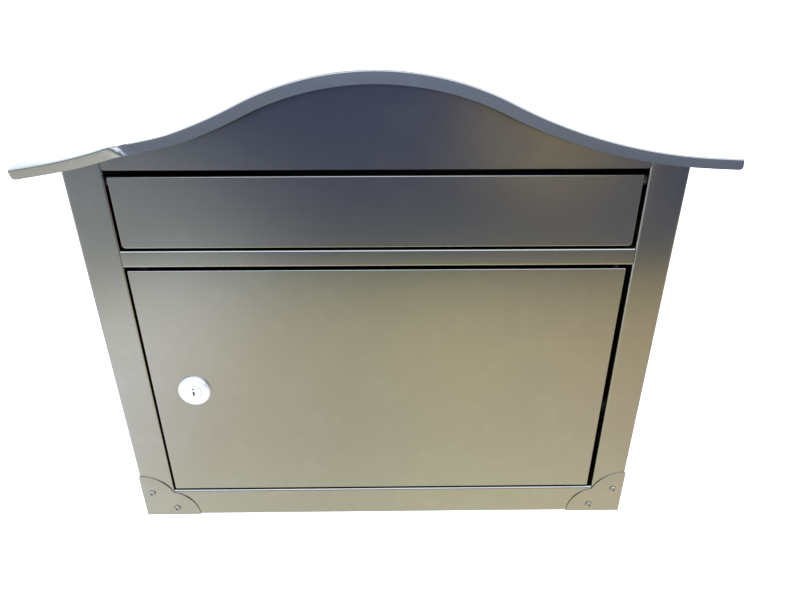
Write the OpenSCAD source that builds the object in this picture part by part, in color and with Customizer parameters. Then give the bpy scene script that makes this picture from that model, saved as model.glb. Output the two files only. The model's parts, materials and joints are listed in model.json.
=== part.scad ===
// Wall-mounted mail and parcel drop box in folded sheet steel: an arched roof, a push-in mail flap,
// and a locked collection door below it. Millimetres, +Z up, the front faces -Y, and the origin is
// at the centre of the underside.

/* [Case] */
// Width of the case, outside
body_w = 400; // [320:1:500]
// Depth of the case, front face to back face
body_d = 200; // [150:1:300]
// Thickness of the sheet steel
sheet = 1.2; // [0.8:0.1:1.6]
// Width of each front stile
stile_w = 26; // [24:1:40]
// Depth of the folded returns round the openings, from the front face
jamb_depth = 14; // [13:0.5:20]
// Width of the flanges that join the panels
joint_flange = 14; // [10:1:20]
// Height of the floor pan's side and rear flanges
floor_flange = 12; // [8:1:16]
// Clearance left under the roof, along the tops of the panels
roof_seat = 0.1; // [0.05:0.05:0.3]

/* [Front layout] */
// Height of the bottom rail
bottom_rail_h = 25.5; // [22:0.5:40]
// Height of the door opening
door_opening_h = 197; // [140:1:300]
// Height of the rail between the door and the flap
mid_rail_h = 12; // [10:0.5:25]
// Height of the flap opening
flap_opening_h = 53.5; // [44:0.5:80]

/* [Roof] */
// Height of the roof's crown above the flap opening
crown_h = 58.2; // [50:0.1:90]
// Radius of the crown's arc
crown_r = 189.3; // [150:0.1:260]
// Half angle of the crown's arc
crown_angle = 25.2; // [18:0.1:28]
// Radius of the arc that sweeps out to the eaves
sweep_r = 335; // [250:1:420]
// Slope of the roof at the eaves
eave_angle = 2.8; // [0:0.1:8]
// How far the roof stands out past each side
side_overhang = 23; // [15:0.5:40]
// How far the roof stands out past the front
front_overhang = 16; // [10:0.5:30]
// Height of the lip folded down along the roof's front edge
lip_h = 6.5; // [4:0.5:12]
// Angle of the dent that bends the left front corner down, 0 for a straight roof
corner_dent = 13; // [0:0.5:15]
// Distance in from the side at which the dent's crease meets the front edge
dent_reach = 35; // [20:1:60]

/* [Flap] */
// Gap between the flap and its opening at the left end
flap_gap_left = 2; // [1.5:0.1:3]
// Gap between the flap and its opening at the right end
flap_gap_right = 3; // [2:0.1:4]
// Gap above the flap
flap_gap_top = 4; // [3.5:0.1:6]
// Gap below the flap
flap_gap_bottom = 1.8; // [1.2:0.1:3]
// Depth of the flap's end flanges, from its face
flap_flange = 10; // [9:0.5:12]
// Depth of the flap's top flange, from its face
flap_top_flange = 6; // [4:0.5:6.5]
// Radius of the hinge rod
rod_r = 1.5; // [1.25:0.25:2]
// Distance of the hinge rod behind the face
rod_inset = 5; // [4.5:0.5:6]
// Distance of the hinge rod below the flap's top edge
rod_drop = 3.8; // [3.5:0.1:5]
// Radius of the nylon bushes' barrels
bush_r = 2.5; // [2.2:0.1:3]
// Radius of the nylon bushes' flanges
bush_flange_r = 3.5; // [3:0.1:3.7]
// How far the rod stands out past the returns, where its clips sit
rod_tail = 3.5; // [3:0.5:6]
// Radius of the push-on clips at the rod's ends
clip_r = 3.4; // [2.8:0.1:3.6]
// Height of the stop tabs on the flap's ends
tab_h = 12; // [8:1:16]
// Length of each stop tab beyond the edge of the opening
tab_reach = 7; // [4:0.5:10]

/* [Door] */
// Gap between the door and its opening on the lock side
door_gap_left = 2.5; // [1.5:0.1:3]
// Gap between the door and its opening on the hinge side
door_gap_right = 4; // [3.5:0.1:5]
// Gap above the door
door_gap_top = 2.3; // [1.5:0.1:4]
// Gap below the door
door_gap_bottom = 2; // [1.5:0.1:4]
// Depth of the door's flanges, from its face
door_flange = 10; // [9:0.5:11]
// Radius of the door's pivot pins
pin_r = 2; // [1.5:0.25:2.5]
// Radius of the pivot pins' heads
pin_head_r = 3.5; // [3:0.25:4.5]
// Length of each pivot pin inside the door's flange
pin_reach = 5; // [3:0.5:8]
// Distance of the pivot line in from the door's edge
pivot_inset = 5; // [4.5:0.5:6]
// Distance of the pivot line behind the door's face
pivot_depth = 6; // [5:0.5:6.5]
// Radius of the washer that carries the door
washer_r = 4.2; // [3.5:0.1:4.5]
// Width of the stop that the door closes against
stop_w = 10; // [8:0.5:14]
// Radius of the rubber bumpers on the stop
bumper_r = 3.5; // [3:0.25:4]
// Distance of the bumpers from the ends of the door opening
bumper_inset = 35; // [20:1:50]

/* [Lock] */
// Distance of the lock's axis in from the door's edge
lock_inset = 30.5; // [26:0.5:45]
// Radius of the lock's face
lock_face_r = 12; // [11:0.5:14]
// How far the lock's face stands out from the door
lock_face_h = 3; // [2:0.25:4]
// Radius of the lock's threaded barrel
barrel_r = 9.5; // [8.5:0.25:10]
// Radius of the key plug
plug_r = 6; // [5:0.25:6.5]
// Side of the square drive that turns the cam
drive_side = 7; // [6:0.25:8]
// Thickness of the cam
cam_t = 1.8; // [1.5:0.1:2.5]
// Width of the cam
cam_w = 16; // [14:1:18]
// How far the cam passes behind the door's stop
cam_overlap = 11; // [6:1:14]
// Width across the flats of the lock's nut
nut_af = 22; // [21:1:25]
// Thickness of the lock's nut
nut_t = 4; // [3:0.5:5]
// Width of the keyway
keyway_w = 1.6; // [1.2:0.1:2.2]
// Height of the keyway
keyway_h = 7.5; // [6:0.5:9]
// Depth of the keyway
keyway_depth = 8; // [6:0.5:9]

/* [Corner plates] */
// Length of each corner plate along the bottom rail
plate_w = 44.5; // [40:0.5:60]
// Height of each corner plate up the stile
plate_h = 41; // [36:0.5:60]
// Thickness of the corner plates
plate_t = 1; // [0.8:0.1:1.5]
// How far the plates' inner corner stays below the door opening
cusp_drop = 1.5; // [1:0.5:3]
// Radius of the rivet heads
rivet_head_r = 2.8; // [2.4:0.1:3.4]
// Height of the rivet heads
rivet_head_h = 1.5; // [1:0.1:2]
// Radius of the rivet shanks
rivet_r = 1.6; // [1.2:0.1:1.8]
// Distance of the upper rivet in from the side
upper_rivet_x = 8; // [7:0.5:12]
// Height of the upper rivet
upper_rivet_z = 23.5; // [19:0.5:30]
// Height of the lower rivet, which sits on the joint between stile and rail
lower_rivet_z = 7; // [6:0.5:12]

/* [Baffle] */
// Length of the sloping plate behind the flap
baffle_length = 84; // [50:1:100]
// Slope of the plate
baffle_angle = 32; // [20:1:45]
// Depth of the flanges at the plate's ends
baffle_flange = 10; // [6:1:14]

/* [Wall fixing] */
// Diameter of the holes for the wall screws
screw_hole_d = 7; // [5:0.5:9]
// Distance between the screw holes across the back
screw_pitch_x = 260; // [160:5:280]
// Distance between the screw holes up the back
screw_pitch_z = 170; // [120:5:220]
// Height of the lower screw holes
screw_low_z = 60; // [40:5:80]
// Diameter of the drain holes in the floor
drain_d = 6; // [4:0.5:8]

/* [Hidden] */
$fn = 64;

// Clearances
run_clear = 0.05;     // radial, between a pin and the hole that turns on it
slip_clear = 0.1;     // radial, between pieces that only slip over each other
seat_clear = 0.3;     // between a moving piece and what it rests on
cam_clear = 1;        // between the cam and the back of the door's stop
cut = 1;              // how far a cutter runs past the face it cuts

// Case
half_w = body_w / 2;
front_y = -body_d / 2;
back_y = body_d / 2;
inner_x = half_w - sheet;
skin_y = front_y + sheet;
jamb_y = front_y + jamb_depth;
rear_y = back_y - sheet;
open_x = half_w - stile_w;

// Front layout, from the floor up
door_open_z0 = bottom_rail_h;
door_open_z1 = door_open_z0 + door_opening_h;
flap_open_z0 = door_open_z1 + mid_rail_h;
flap_open_z1 = flap_open_z0 + flap_opening_h;
jamb_top_z = flap_open_z1 + 5;

// Roof profile: a crown arc, a sweep arc the other way, and a straight eave, all tangent
roof_step = 6;        // greatest distance between the points of the profile
roof_end = half_w + side_overhang;
roof_y = front_y - front_overhang;
crown_top = flap_open_z1 + crown_h;
crown_cz = crown_top - crown_r;
sweep_cx = (crown_r + sweep_r) * sin(crown_angle);
sweep_cz = crown_cz + (crown_r + sweep_r) * cos(crown_angle);
eave_x = sweep_cx - sweep_r * sin(eave_angle);
eave_z = sweep_cz - sweep_r * cos(eave_angle);
panel_top = sheet + roof_seat;    // depth of the panels' top edges below the roof's skin

// The height at x of the surface that lies t below the roof's skin
function roof_z(x, t = 0) =
    let (a = abs(x))
    a < (crown_r - t) * sin(crown_angle)
        ? crown_cz + sqrt(pow(crown_r - t, 2) - a * a)
        : a < sweep_cx - (sweep_r + t) * sin(eave_angle)
            ? sweep_cz - sqrt(pow(sweep_r + t, 2) - pow(sweep_cx - a, 2))
            : eave_z - (a - eave_x) * tan(eave_angle) - t / cos(eave_angle);

// Evenly spaced places from a to b, no more than roof_step apart
function places(a, b) =
    let (n = ceil(abs(b - a) / roof_step))
    [for (i = [0:n]) a + (b - a) * i / n];

// Dent: its crease runs from the front edge to the case's corner and on to the side edge
crease_from = [-(half_w - dent_reach), roof_y, roof_z(half_w - dent_reach)];
crease_to = [-half_w, front_y, roof_z(half_w)];

// Flap
flap_x0 = -open_x + flap_gap_left;
flap_x1 = open_x - flap_gap_right;
flap_z0 = flap_open_z0 + flap_gap_bottom;
flap_z1 = flap_open_z1 - flap_gap_top;
rod_y = front_y + rod_inset;
rod_z = flap_z1 - rod_drop;
rod_end = open_x + sheet + rod_tail;
clip_t = 2;
tab_z = flap_z0 + 3;
tab_y = jamb_y + seat_clear;
corner_r = 2.5;       // rounding of the flap's lower corners
hem_corner_r = 5;     // rounding of the gable's lower corners

// Door
door_x0 = -open_x + door_gap_left;
door_x1 = open_x - door_gap_right;
door_z0 = door_open_z0 + door_gap_bottom;
door_z1 = door_open_z1 - door_gap_top;
pivot_x = door_x1 - pivot_inset;
pivot_y = front_y + pivot_depth;
pin_head_t = 1.5;
stop_y = jamb_y - sheet;
bumper_x = -open_x + 5;

// Lock
lock_x = door_x0 + lock_inset;
lock_z = (door_open_z0 + door_open_z1) / 2;
cam_y = jamb_y + cam_clear;
barrel_end_y = cam_y - 0.2;
plug_front_y = front_y - lock_face_h - 0.4;
cam_tip = lock_x + open_x - stop_w + cam_overlap;
washer_t = 1.2;
screw_r = 1.9;
screw_head_r = 4.5;
screw_head_t = 2.4;
screw_length = 9;

// Corner plates: two arcs that meet at the door opening's lower corner
cusp_z = bottom_rail_h - cusp_drop;
stile_arc_z = (pow(plate_h, 2) - pow(stile_w, 2) - pow(cusp_z, 2)) / (2 * (plate_h - cusp_z));
rail_arc_x = (pow(plate_w, 2) - pow(stile_w, 2) - pow(cusp_z, 2)) / (2 * (plate_w - stile_w));
rivet_tail_r = 2.4;
rivet_tail_h = 2;
rivet_places = [[half_w - upper_rivet_x, upper_rivet_z], [open_x, lower_rivet_z]];

// Baffle
baffle_top_z = flap_open_z0 - sheet - 0.3;
baffle_lip = 9;
baffle_bend_z = baffle_top_z - baffle_lip;

// A block between two opposite corners
module block(low, high) {
    translate(low) cube(high - low);
}

// A plan in X and Z, drawn out along Y from y0 to y1
module along_y(y0, y1) {
    translate([0, y1, 0]) rotate([90, 0, 0]) linear_extrude(y1 - y0) children();
}

// A plan in Y and Z, drawn out along X from x0 to x1
module along_x(x0, x1) {
    translate([x0, 0, 0]) rotate([90, 0, 90]) linear_extrude(x1 - x0) children();
}

// Round bars along each axis
module bar_x(r, x0, x1) {
    translate([x0, 0, 0]) rotate([0, 90, 0]) cylinder(r = r, h = x1 - x0);
}

module bar_y(r, y0, y1) {
    translate([0, y1, 0]) rotate([90, 0, 0]) cylinder(r = r, h = y1 - y0);
}

module bar_z(r, z0, z1) {
    translate([0, 0, z0]) cylinder(r = r, h = z1 - z0);
}

// A strip that follows the roof from xa to xb, between t0 and t1 below its skin
module roof_strip(xa, xb, t0, t1) {
    polygon(concat(
        [for (x = places(xa, xb)) [x, roof_z(x, t0)]],
        [for (x = places(xb, xa)) [x, roof_z(x, t1)]]));
}

// A panel from z0 up to the roof
module under_roof(xa, xb, z0) {
    polygon(concat([[xb, z0], [xa, z0]], [for (x = places(xa, xb)) [x, roof_z(x, panel_top)]]));
}

// A rectangle with its lower corners rounded
module soft_foot(x0, x1, z0, z1, r) {
    translate([x0, z0 + r]) square([x1 - x0, z1 - z0 - r]);
    translate([x0 + r, z0]) square([x1 - x0 - 2 * r, 2 * r]);
    for (x = [x0 + r, x1 - r]) translate([x, z0 + r]) circle(r);
}

// Everything that the right and left sides share, drawn as the right side
module side_shell() {
    difference() {
        union() {
            along_y(front_y, rear_y) under_roof(inner_x, half_w, 0);
            along_y(front_y, skin_y) under_roof(open_x, half_w, 0);
            block([open_x, front_y, bottom_rail_h], [open_x + sheet, jamb_y, jamb_top_z]);
            along_y(skin_y, rear_y - sheet)
                roof_strip(half_w - joint_flange, inner_x + sheet / 2, panel_top, panel_top + sheet);
            along_y(rear_y - sheet, rear_y)
                under_roof(half_w - joint_flange, inner_x + sheet / 2, sheet);
        }
        for (p = rivet_places)
            translate([p[0], 0, p[1]]) bar_y(rivet_r + run_clear, front_y - cut, skin_y + cut);
        translate([0, rod_y, rod_z]) bar_x(rod_r + run_clear, open_x - cut, open_x + sheet + cut);
    }
}

module left_side_panel() color("dimgray") {
    mirror([1, 0, 0]) side_shell();
    block([-open_x - sheet, stop_y, door_open_z0], [-open_x + stop_w, jamb_y, door_open_z1]);
}

module right_side_panel() color("dimgray") side_shell();

module back_panel() color("dimgray") difference() {
    union() {
        along_y(rear_y, back_y) under_roof(-half_w, half_w, 0);
        along_y(rear_y - joint_flange, rear_y + sheet / 2)
            roof_strip(-(half_w - joint_flange - 1), half_w - joint_flange - 1,
                panel_top, panel_top + sheet);
    }
    for (x = [-screw_pitch_x / 2, screw_pitch_x / 2], z = [screw_low_z, screw_low_z + screw_pitch_z])
        translate([x, 0, z]) bar_y(screw_hole_d / 2, rear_y - cut, back_y + cut);
}

module floor_pan() color("dimgray") {
    flange_x = half_w - joint_flange - 1;
    difference() {
        union() {
            block([-inner_x, skin_y, 0], [inner_x, rear_y, sheet]);
            block([-open_x, front_y, 0], [open_x, skin_y, bottom_rail_h]);
            block([-open_x, front_y, bottom_rail_h - sheet], [open_x, jamb_y, bottom_rail_h]);
            block([-flange_x, rear_y - sheet, 0], [flange_x, rear_y, floor_flange]);
            for (x = [-inner_x, inner_x - sheet])
                block([x, jamb_y, 0], [x + sheet, rear_y - 2 * sheet, floor_flange]);
        }
        for (x = [-open_x, open_x])
            translate([x, 0, lower_rivet_z]) bar_y(rivet_r + run_clear, front_y - cut, skin_y + cut);
        translate([pivot_x, pivot_y, 0])
            bar_z(pin_r + run_clear, bottom_rail_h - sheet - cut, bottom_rail_h + cut);
        for (x = [-half_w / 2, half_w / 2], y = [front_y / 2, back_y / 2])
            translate([x, y, 0]) bar_z(drain_d / 2, -cut, sheet + cut);
    }
}

module gable_panel() color("darkslategray") {
    hem_depth = flap_top_flange + 1;
    along_y(front_y, skin_y) intersection() {
        under_roof(-open_x, open_x, flap_open_z1);
        soft_foot(-open_x, open_x, flap_open_z1, crown_top, hem_corner_r);
    }
    block([-open_x + hem_corner_r, front_y, flap_open_z1],
        [open_x - hem_corner_r, front_y + hem_depth, flap_open_z1 + sheet]);
    along_y(skin_y - sheet / 2, jamb_y) roof_strip(-open_x, open_x, panel_top, panel_top + sheet);
}

module mid_rail() color("gray") difference() {
    union() {
        block([-open_x, front_y, door_open_z1], [open_x, skin_y, flap_open_z0]);
        block([-open_x, front_y, flap_open_z0 - sheet], [open_x, jamb_y, flap_open_z0]);
        block([-open_x, front_y, door_open_z1], [open_x, jamb_y, door_open_z1 + sheet]);
    }
    translate([pivot_x, pivot_y, 0])
        bar_z(pin_r + run_clear, door_open_z1 - cut, door_open_z1 + sheet + cut);
}

// The roof before its corner is dented
module straight_roof() {
    along_y(roof_y, back_y) roof_strip(-roof_end, roof_end, 0, sheet);
    along_y(roof_y, roof_y + sheet) roof_strip(-roof_end, roof_end, 0, lip_h);
}

// The upright block over the corner that lies outside the crease
module dented_zone() {
    run = crease_to - crease_from;
    near = crease_from - run / 2;
    far = crease_from + 3 * run;
    fore_y = roof_y - front_overhang;
    translate([0, 0, crown_cz]) linear_extrude(2 * crown_r)
        polygon([[near[0], near[1]], [far[0], far[1]], [far[0], fore_y], [near[0], fore_y]]);
}

module roof() color("slategray") {
    if (corner_dent == 0) {
        straight_roof();
    } else {
        difference() {
            straight_roof();
            dented_zone();
        }
        translate(crease_from) rotate(a = -corner_dent, v = crease_to - crease_from)
            translate(-crease_from) intersection() {
                straight_roof();
                dented_zone();
            }
    }
}

// The baffle's slope in Y and Z, depth thick measured down
module baffle_slope(depth) {
    run = baffle_length * cos(baffle_angle);
    fall = baffle_length * sin(baffle_angle);
    polygon([[jamb_y, baffle_bend_z], [jamb_y + run, baffle_bend_z - fall],
        [jamb_y + run, baffle_bend_z - fall - depth], [jamb_y, baffle_bend_z - depth]]);
}

module baffle_plate() color("gray") {
    drop = sheet / cos(baffle_angle);
    block([-inner_x, jamb_y, baffle_bend_z - drop], [inner_x, jamb_y + sheet, baffle_top_z]);
    along_x(-inner_x, inner_x) baffle_slope(drop);
    for (x = [-inner_x, inner_x - sheet]) along_x(x, x + sheet) baffle_slope(baffle_flange);
}

// A corner plate, drawn as the right one
module corner_plate() {
    difference() {
        along_y(front_y - plate_t, front_y) intersection() {
            union() {
                translate([half_w, stile_arc_z]) circle(plate_h - stile_arc_z);
                translate([half_w - rail_arc_x, 0]) circle(plate_w - rail_arc_x);
            }
            translate([half_w - plate_w - cut, 0]) square([plate_w + cut, plate_h + cut]);
        }
        for (p = rivet_places)
            translate([p[0], 0, p[1]]) bar_y(rivet_r + run_clear, front_y - plate_t - cut, front_y + cut);
    }
}

module corner_plate_left() color("dimgray") mirror([1, 0, 0]) corner_plate();

module corner_plate_right() color("dimgray") corner_plate();

module corner_rivets() color("gray") {
    head_y = front_y - plate_t;
    dome_r = (pow(rivet_head_r, 2) + pow(rivet_head_h, 2)) / (2 * rivet_head_h);
    for (side = [-1, 1], p = rivet_places) translate([side * p[0], 0, p[1]]) difference() {
        union() {
            translate([0, head_y, 0]) rotate([90, 0, 0]) rotate_extrude() intersection() {
                translate([0, rivet_head_h - dome_r]) circle(dome_r);
                square([rivet_head_r, rivet_head_h]);
            }
            bar_y(rivet_r, head_y - rivet_head_h / 3, skin_y + rivet_tail_h / 2);
            bar_y(rivet_tail_r, skin_y, skin_y + rivet_tail_h);
        }
        bar_y(rivet_r / 2, head_y - rivet_head_h - cut, head_y);
    }
}

module flap_panel() color("slategray") difference() {
    union() {
        along_y(front_y, skin_y) soft_foot(flap_x0, flap_x1, flap_z0, flap_z1, corner_r);
        block([flap_x0, front_y, flap_z1 - sheet], [flap_x1, front_y + flap_top_flange, flap_z1]);
        block([flap_x0 + corner_r, front_y, flap_z0],
            [flap_x1 - corner_r, front_y + flap_flange, flap_z0 + sheet]);
        for (x = [flap_x0, flap_x1 - sheet]) {
            block([x, front_y, flap_z0 + corner_r], [x + sheet, front_y + flap_flange, flap_z1]);
            block([x, skin_y, tab_z], [x + sheet, tab_y + sheet, tab_z + tab_h]);
        }
        block([-open_x - tab_reach, tab_y, tab_z], [flap_x0 + sheet, tab_y + sheet, tab_z + tab_h]);
        block([flap_x1 - sheet, tab_y, tab_z], [open_x + tab_reach, tab_y + sheet, tab_z + tab_h]);
    }
    translate([0, rod_y, rod_z]) bar_x(bush_r + run_clear, -half_w, half_w);
}

module flap_bushes() color("white") {
    flange_end = open_x - seat_clear;
    for (ends = [[-flange_end, flap_x0, flap_x0 + 2 * sheet], [flange_end, flap_x1, flap_x1 - 2 * sheet]])
        translate([0, rod_y, rod_z]) difference() {
            union() {
                bar_x(bush_flange_r, min(ends[0], ends[1]), max(ends[0], ends[1]));
                bar_x(bush_r, min(ends[0], ends[2]), max(ends[0], ends[2]));
            }
            bar_x(rod_r + run_clear, -half_w, half_w);
        }
}

module flap_rod() color("silver") translate([0, rod_y, rod_z]) bar_x(rod_r, -rod_end, rod_end);

module flap_rod_clips() color("silver") {
    near = open_x + sheet + seat_clear;
    for (x = [-near - clip_t, near]) translate([0, rod_y, rod_z]) difference() {
        bar_x(clip_r, x, x + clip_t);
        bar_x(rod_r + run_clear, x - cut, x + clip_t + cut);
    }
}

module door_panel() color("slategray") difference() {
    flange_y = front_y + door_flange;
    union() {
        block([door_x0, front_y, door_z0], [door_x1, skin_y, door_z1]);
        for (x = [door_x0, door_x1 - sheet])
            block([x, front_y, door_z0], [x + sheet, flange_y, door_z1]);
        for (z = [door_z0, door_z1 - sheet])
            block([door_x0, front_y, z], [door_x1, flange_y, z + sheet]);
    }
    translate([pivot_x, pivot_y, 0]) bar_z(pin_r + run_clear, door_z0 - cut, door_z1 + cut);
    translate([lock_x, 0, lock_z]) bar_y(barrel_r + slip_clear, front_y - cut, skin_y + cut);
}

module door_pivot_pins() color("silver") translate([pivot_x, pivot_y, 0]) {
    low_z = bottom_rail_h - sheet;
    high_z = door_open_z1 + sheet;
    bar_z(pin_head_r, low_z - pin_head_t, low_z);
    bar_z(pin_r, low_z - pin_head_t / 2, door_z0 + sheet + pin_reach);
    bar_z(pin_head_r, high_z, high_z + pin_head_t);
    bar_z(pin_r, door_z1 - sheet - pin_reach, high_z + pin_head_t / 2);
}

module door_pivot_washer() color("white") translate([pivot_x, pivot_y, 0]) difference() {
    bar_z(washer_r, bottom_rail_h, door_z0 - seat_clear / 2);
    bar_z(pin_r + run_clear, bottom_rail_h - cut, door_z0 + cut);
}

module door_bumpers() color("black") {
    bumper_y = front_y + door_flange + seat_clear;
    for (z = [door_open_z0 + bumper_inset, door_open_z1 - bumper_inset])
        translate([bumper_x, 0, z]) bar_y(bumper_r, bumper_y, stop_y);
}

module lock_barrel() color("silver") translate([lock_x, 0, lock_z]) difference() {
    union() {
        bar_y(lock_face_r - 1, front_y - lock_face_h, front_y);
        bar_y(lock_face_r, front_y - lock_face_h + 1, front_y);
        bar_y(barrel_r, front_y - 1, barrel_end_y);
    }
    bar_y(plug_r + run_clear, front_y - lock_face_h - cut, barrel_end_y + cut);
}

module lock_washer() color("silver") translate([lock_x, 0, lock_z]) difference() {
    bar_y(lock_face_r, skin_y, skin_y + washer_t);
    bar_y(barrel_r + slip_clear, skin_y - cut, skin_y + washer_t + cut);
}

module lock_nut() color("silver") translate([lock_x, 0, lock_z]) difference() {
    near = skin_y + washer_t;
    translate([0, near + nut_t, 0]) rotate([90, 0, 0])
        cylinder(r = nut_af / 2 / cos(30), h = nut_t, $fn = 6);
    bar_y(barrel_r + run_clear, near - cut, near + nut_t + cut);
}

module lock_plug() color("lightgray") translate([lock_x, 0, lock_z]) difference() {
    union() {
        bar_y(plug_r, plug_front_y, barrel_end_y);
        block([-drive_side / 2, barrel_end_y - 1, -drive_side / 2],
            [drive_side / 2, cam_y + cam_t - 0.1, drive_side / 2]);
    }
    block([-keyway_w / 2, plug_front_y - cut, -keyway_h / 2],
        [keyway_w / 2, plug_front_y + keyway_depth, keyway_h / 2]);
    bar_y(screw_r + run_clear, cam_y + cam_t - screw_length, cam_y + cam_t + cut);
}

// The cam hangs down when the lock is open, and points at the stop when it is locked
module lock_cam() color("silver") translate([lock_x, 0, lock_z]) difference() {
    union() {
        bar_y(cam_w / 2, cam_y, cam_y + cam_t);
        block([-cam_w / 2, cam_y, -cam_tip], [cam_w / 2, cam_y + cam_t, 0]);
    }
    block([-drive_side / 2 - run_clear, cam_y - cut, -drive_side / 2 - run_clear],
        [drive_side / 2 + run_clear, cam_y + cam_t + cut, drive_side / 2 + run_clear]);
}

module cam_screw() color("silver") translate([lock_x, 0, lock_z]) {
    near = cam_y + cam_t;
    difference() {
        union() {
            bar_y(screw_head_r + 0.5, near, near + screw_head_t);
            bar_y(screw_r, near - screw_length + 1, near + 1);
        }
        for (turn = [0, 90]) rotate([0, turn, 0])
            block([-3, near + screw_head_t - 1.2, -0.5], [3, near + screw_head_t + cut, 0.5]);
    }
}

left_side_panel();
right_side_panel();
back_panel();
floor_pan();
gable_panel();
mid_rail();
roof();
baffle_plate();
corner_plate_left();
corner_plate_right();
corner_rivets();
flap_panel();
flap_bushes();
flap_rod();
flap_rod_clips();
door_panel();
door_pivot_pins();
door_pivot_washer();
door_bumpers();
lock_barrel();
lock_washer();
lock_nut();
lock_plug();
lock_cam();
cam_screw();
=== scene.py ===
"""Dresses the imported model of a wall-mounted parcel drop box: folded steel panels, an arched roof,
a push-in mail flap and a locked collection door.

Every piece is modelled in metres in the model's own frame: +Z up, the front facing -Y, and the
origin at the centre of the underside. Sizes are given in millimetres and turned to metres by MM.
"""

from __future__ import annotations

import json
import logging
import math
from contextlib import contextmanager
from dataclasses import dataclass
from enum import Enum
from typing import Callable, Iterator, Sequence

import bmesh
import bpy
from mathutils import Matrix, Vector

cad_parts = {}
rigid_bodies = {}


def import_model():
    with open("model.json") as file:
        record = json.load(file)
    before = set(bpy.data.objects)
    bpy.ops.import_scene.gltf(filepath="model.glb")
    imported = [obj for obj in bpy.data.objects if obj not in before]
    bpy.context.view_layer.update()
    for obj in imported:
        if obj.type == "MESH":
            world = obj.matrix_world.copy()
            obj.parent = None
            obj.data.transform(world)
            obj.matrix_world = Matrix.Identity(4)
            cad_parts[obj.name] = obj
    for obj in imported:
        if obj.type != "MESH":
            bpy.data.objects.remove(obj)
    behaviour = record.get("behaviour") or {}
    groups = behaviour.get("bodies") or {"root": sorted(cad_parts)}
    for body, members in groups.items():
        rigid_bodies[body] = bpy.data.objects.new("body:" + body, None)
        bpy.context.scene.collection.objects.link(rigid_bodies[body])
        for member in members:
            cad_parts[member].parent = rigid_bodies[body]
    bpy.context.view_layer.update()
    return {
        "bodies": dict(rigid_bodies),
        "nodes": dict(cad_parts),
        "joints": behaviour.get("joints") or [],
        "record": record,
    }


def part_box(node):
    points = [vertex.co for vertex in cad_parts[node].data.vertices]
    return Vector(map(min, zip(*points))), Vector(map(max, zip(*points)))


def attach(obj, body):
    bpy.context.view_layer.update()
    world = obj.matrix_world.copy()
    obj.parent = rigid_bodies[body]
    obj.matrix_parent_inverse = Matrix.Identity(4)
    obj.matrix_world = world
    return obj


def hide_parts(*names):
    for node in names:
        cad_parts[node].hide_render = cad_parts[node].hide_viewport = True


log = logging.getLogger("drop_box")

MM = 0.001
TOUCH = 0.02 * MM
SHARP = math.radians(50)

Point = tuple[float, float, float]
Test = Callable[[Vector], bool]
FaceTest = Callable[[Vector, Vector], bool]


def close(first: float, second: float) -> bool:
    """Whether two places are the same, to within TOUCH."""
    return abs(first - second) < TOUCH


def ease(share: float) -> float:
    """A share from 0 to 1, eased in and out."""
    return share * share * (3 - 2 * share)


class Body(str, Enum):
    """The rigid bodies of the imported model."""

    CASE = "case"
    FLAP = "flap"
    DOOR = "door"
    ROTOR = "lock_rotor"


class Slot(str, Enum):
    """The record's material slots."""

    CASE = "case_coat"
    ROOF = "roof_coat"
    DOOR = "door_coat"
    TRIM = "trim_coat"
    CHROME = "lock_chrome"
    PLUG = "lock_plug_metal"
    ZINC = "zinc_steel"
    NYLON = "nylon"
    RUBBER = "rubber"


class Axis(Enum):
    """A direction that a round piece can point in, as the turn about X that brings +Z to it."""

    Y = -math.pi / 2
    Z = 0.0

    @property
    def turn(self) -> Matrix:
        """The turn as a matrix."""
        return Matrix.Rotation(self.value, 4, "X")


# --------------------------------------------------------------------------------------------
# Hand tools
# --------------------------------------------------------------------------------------------


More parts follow.
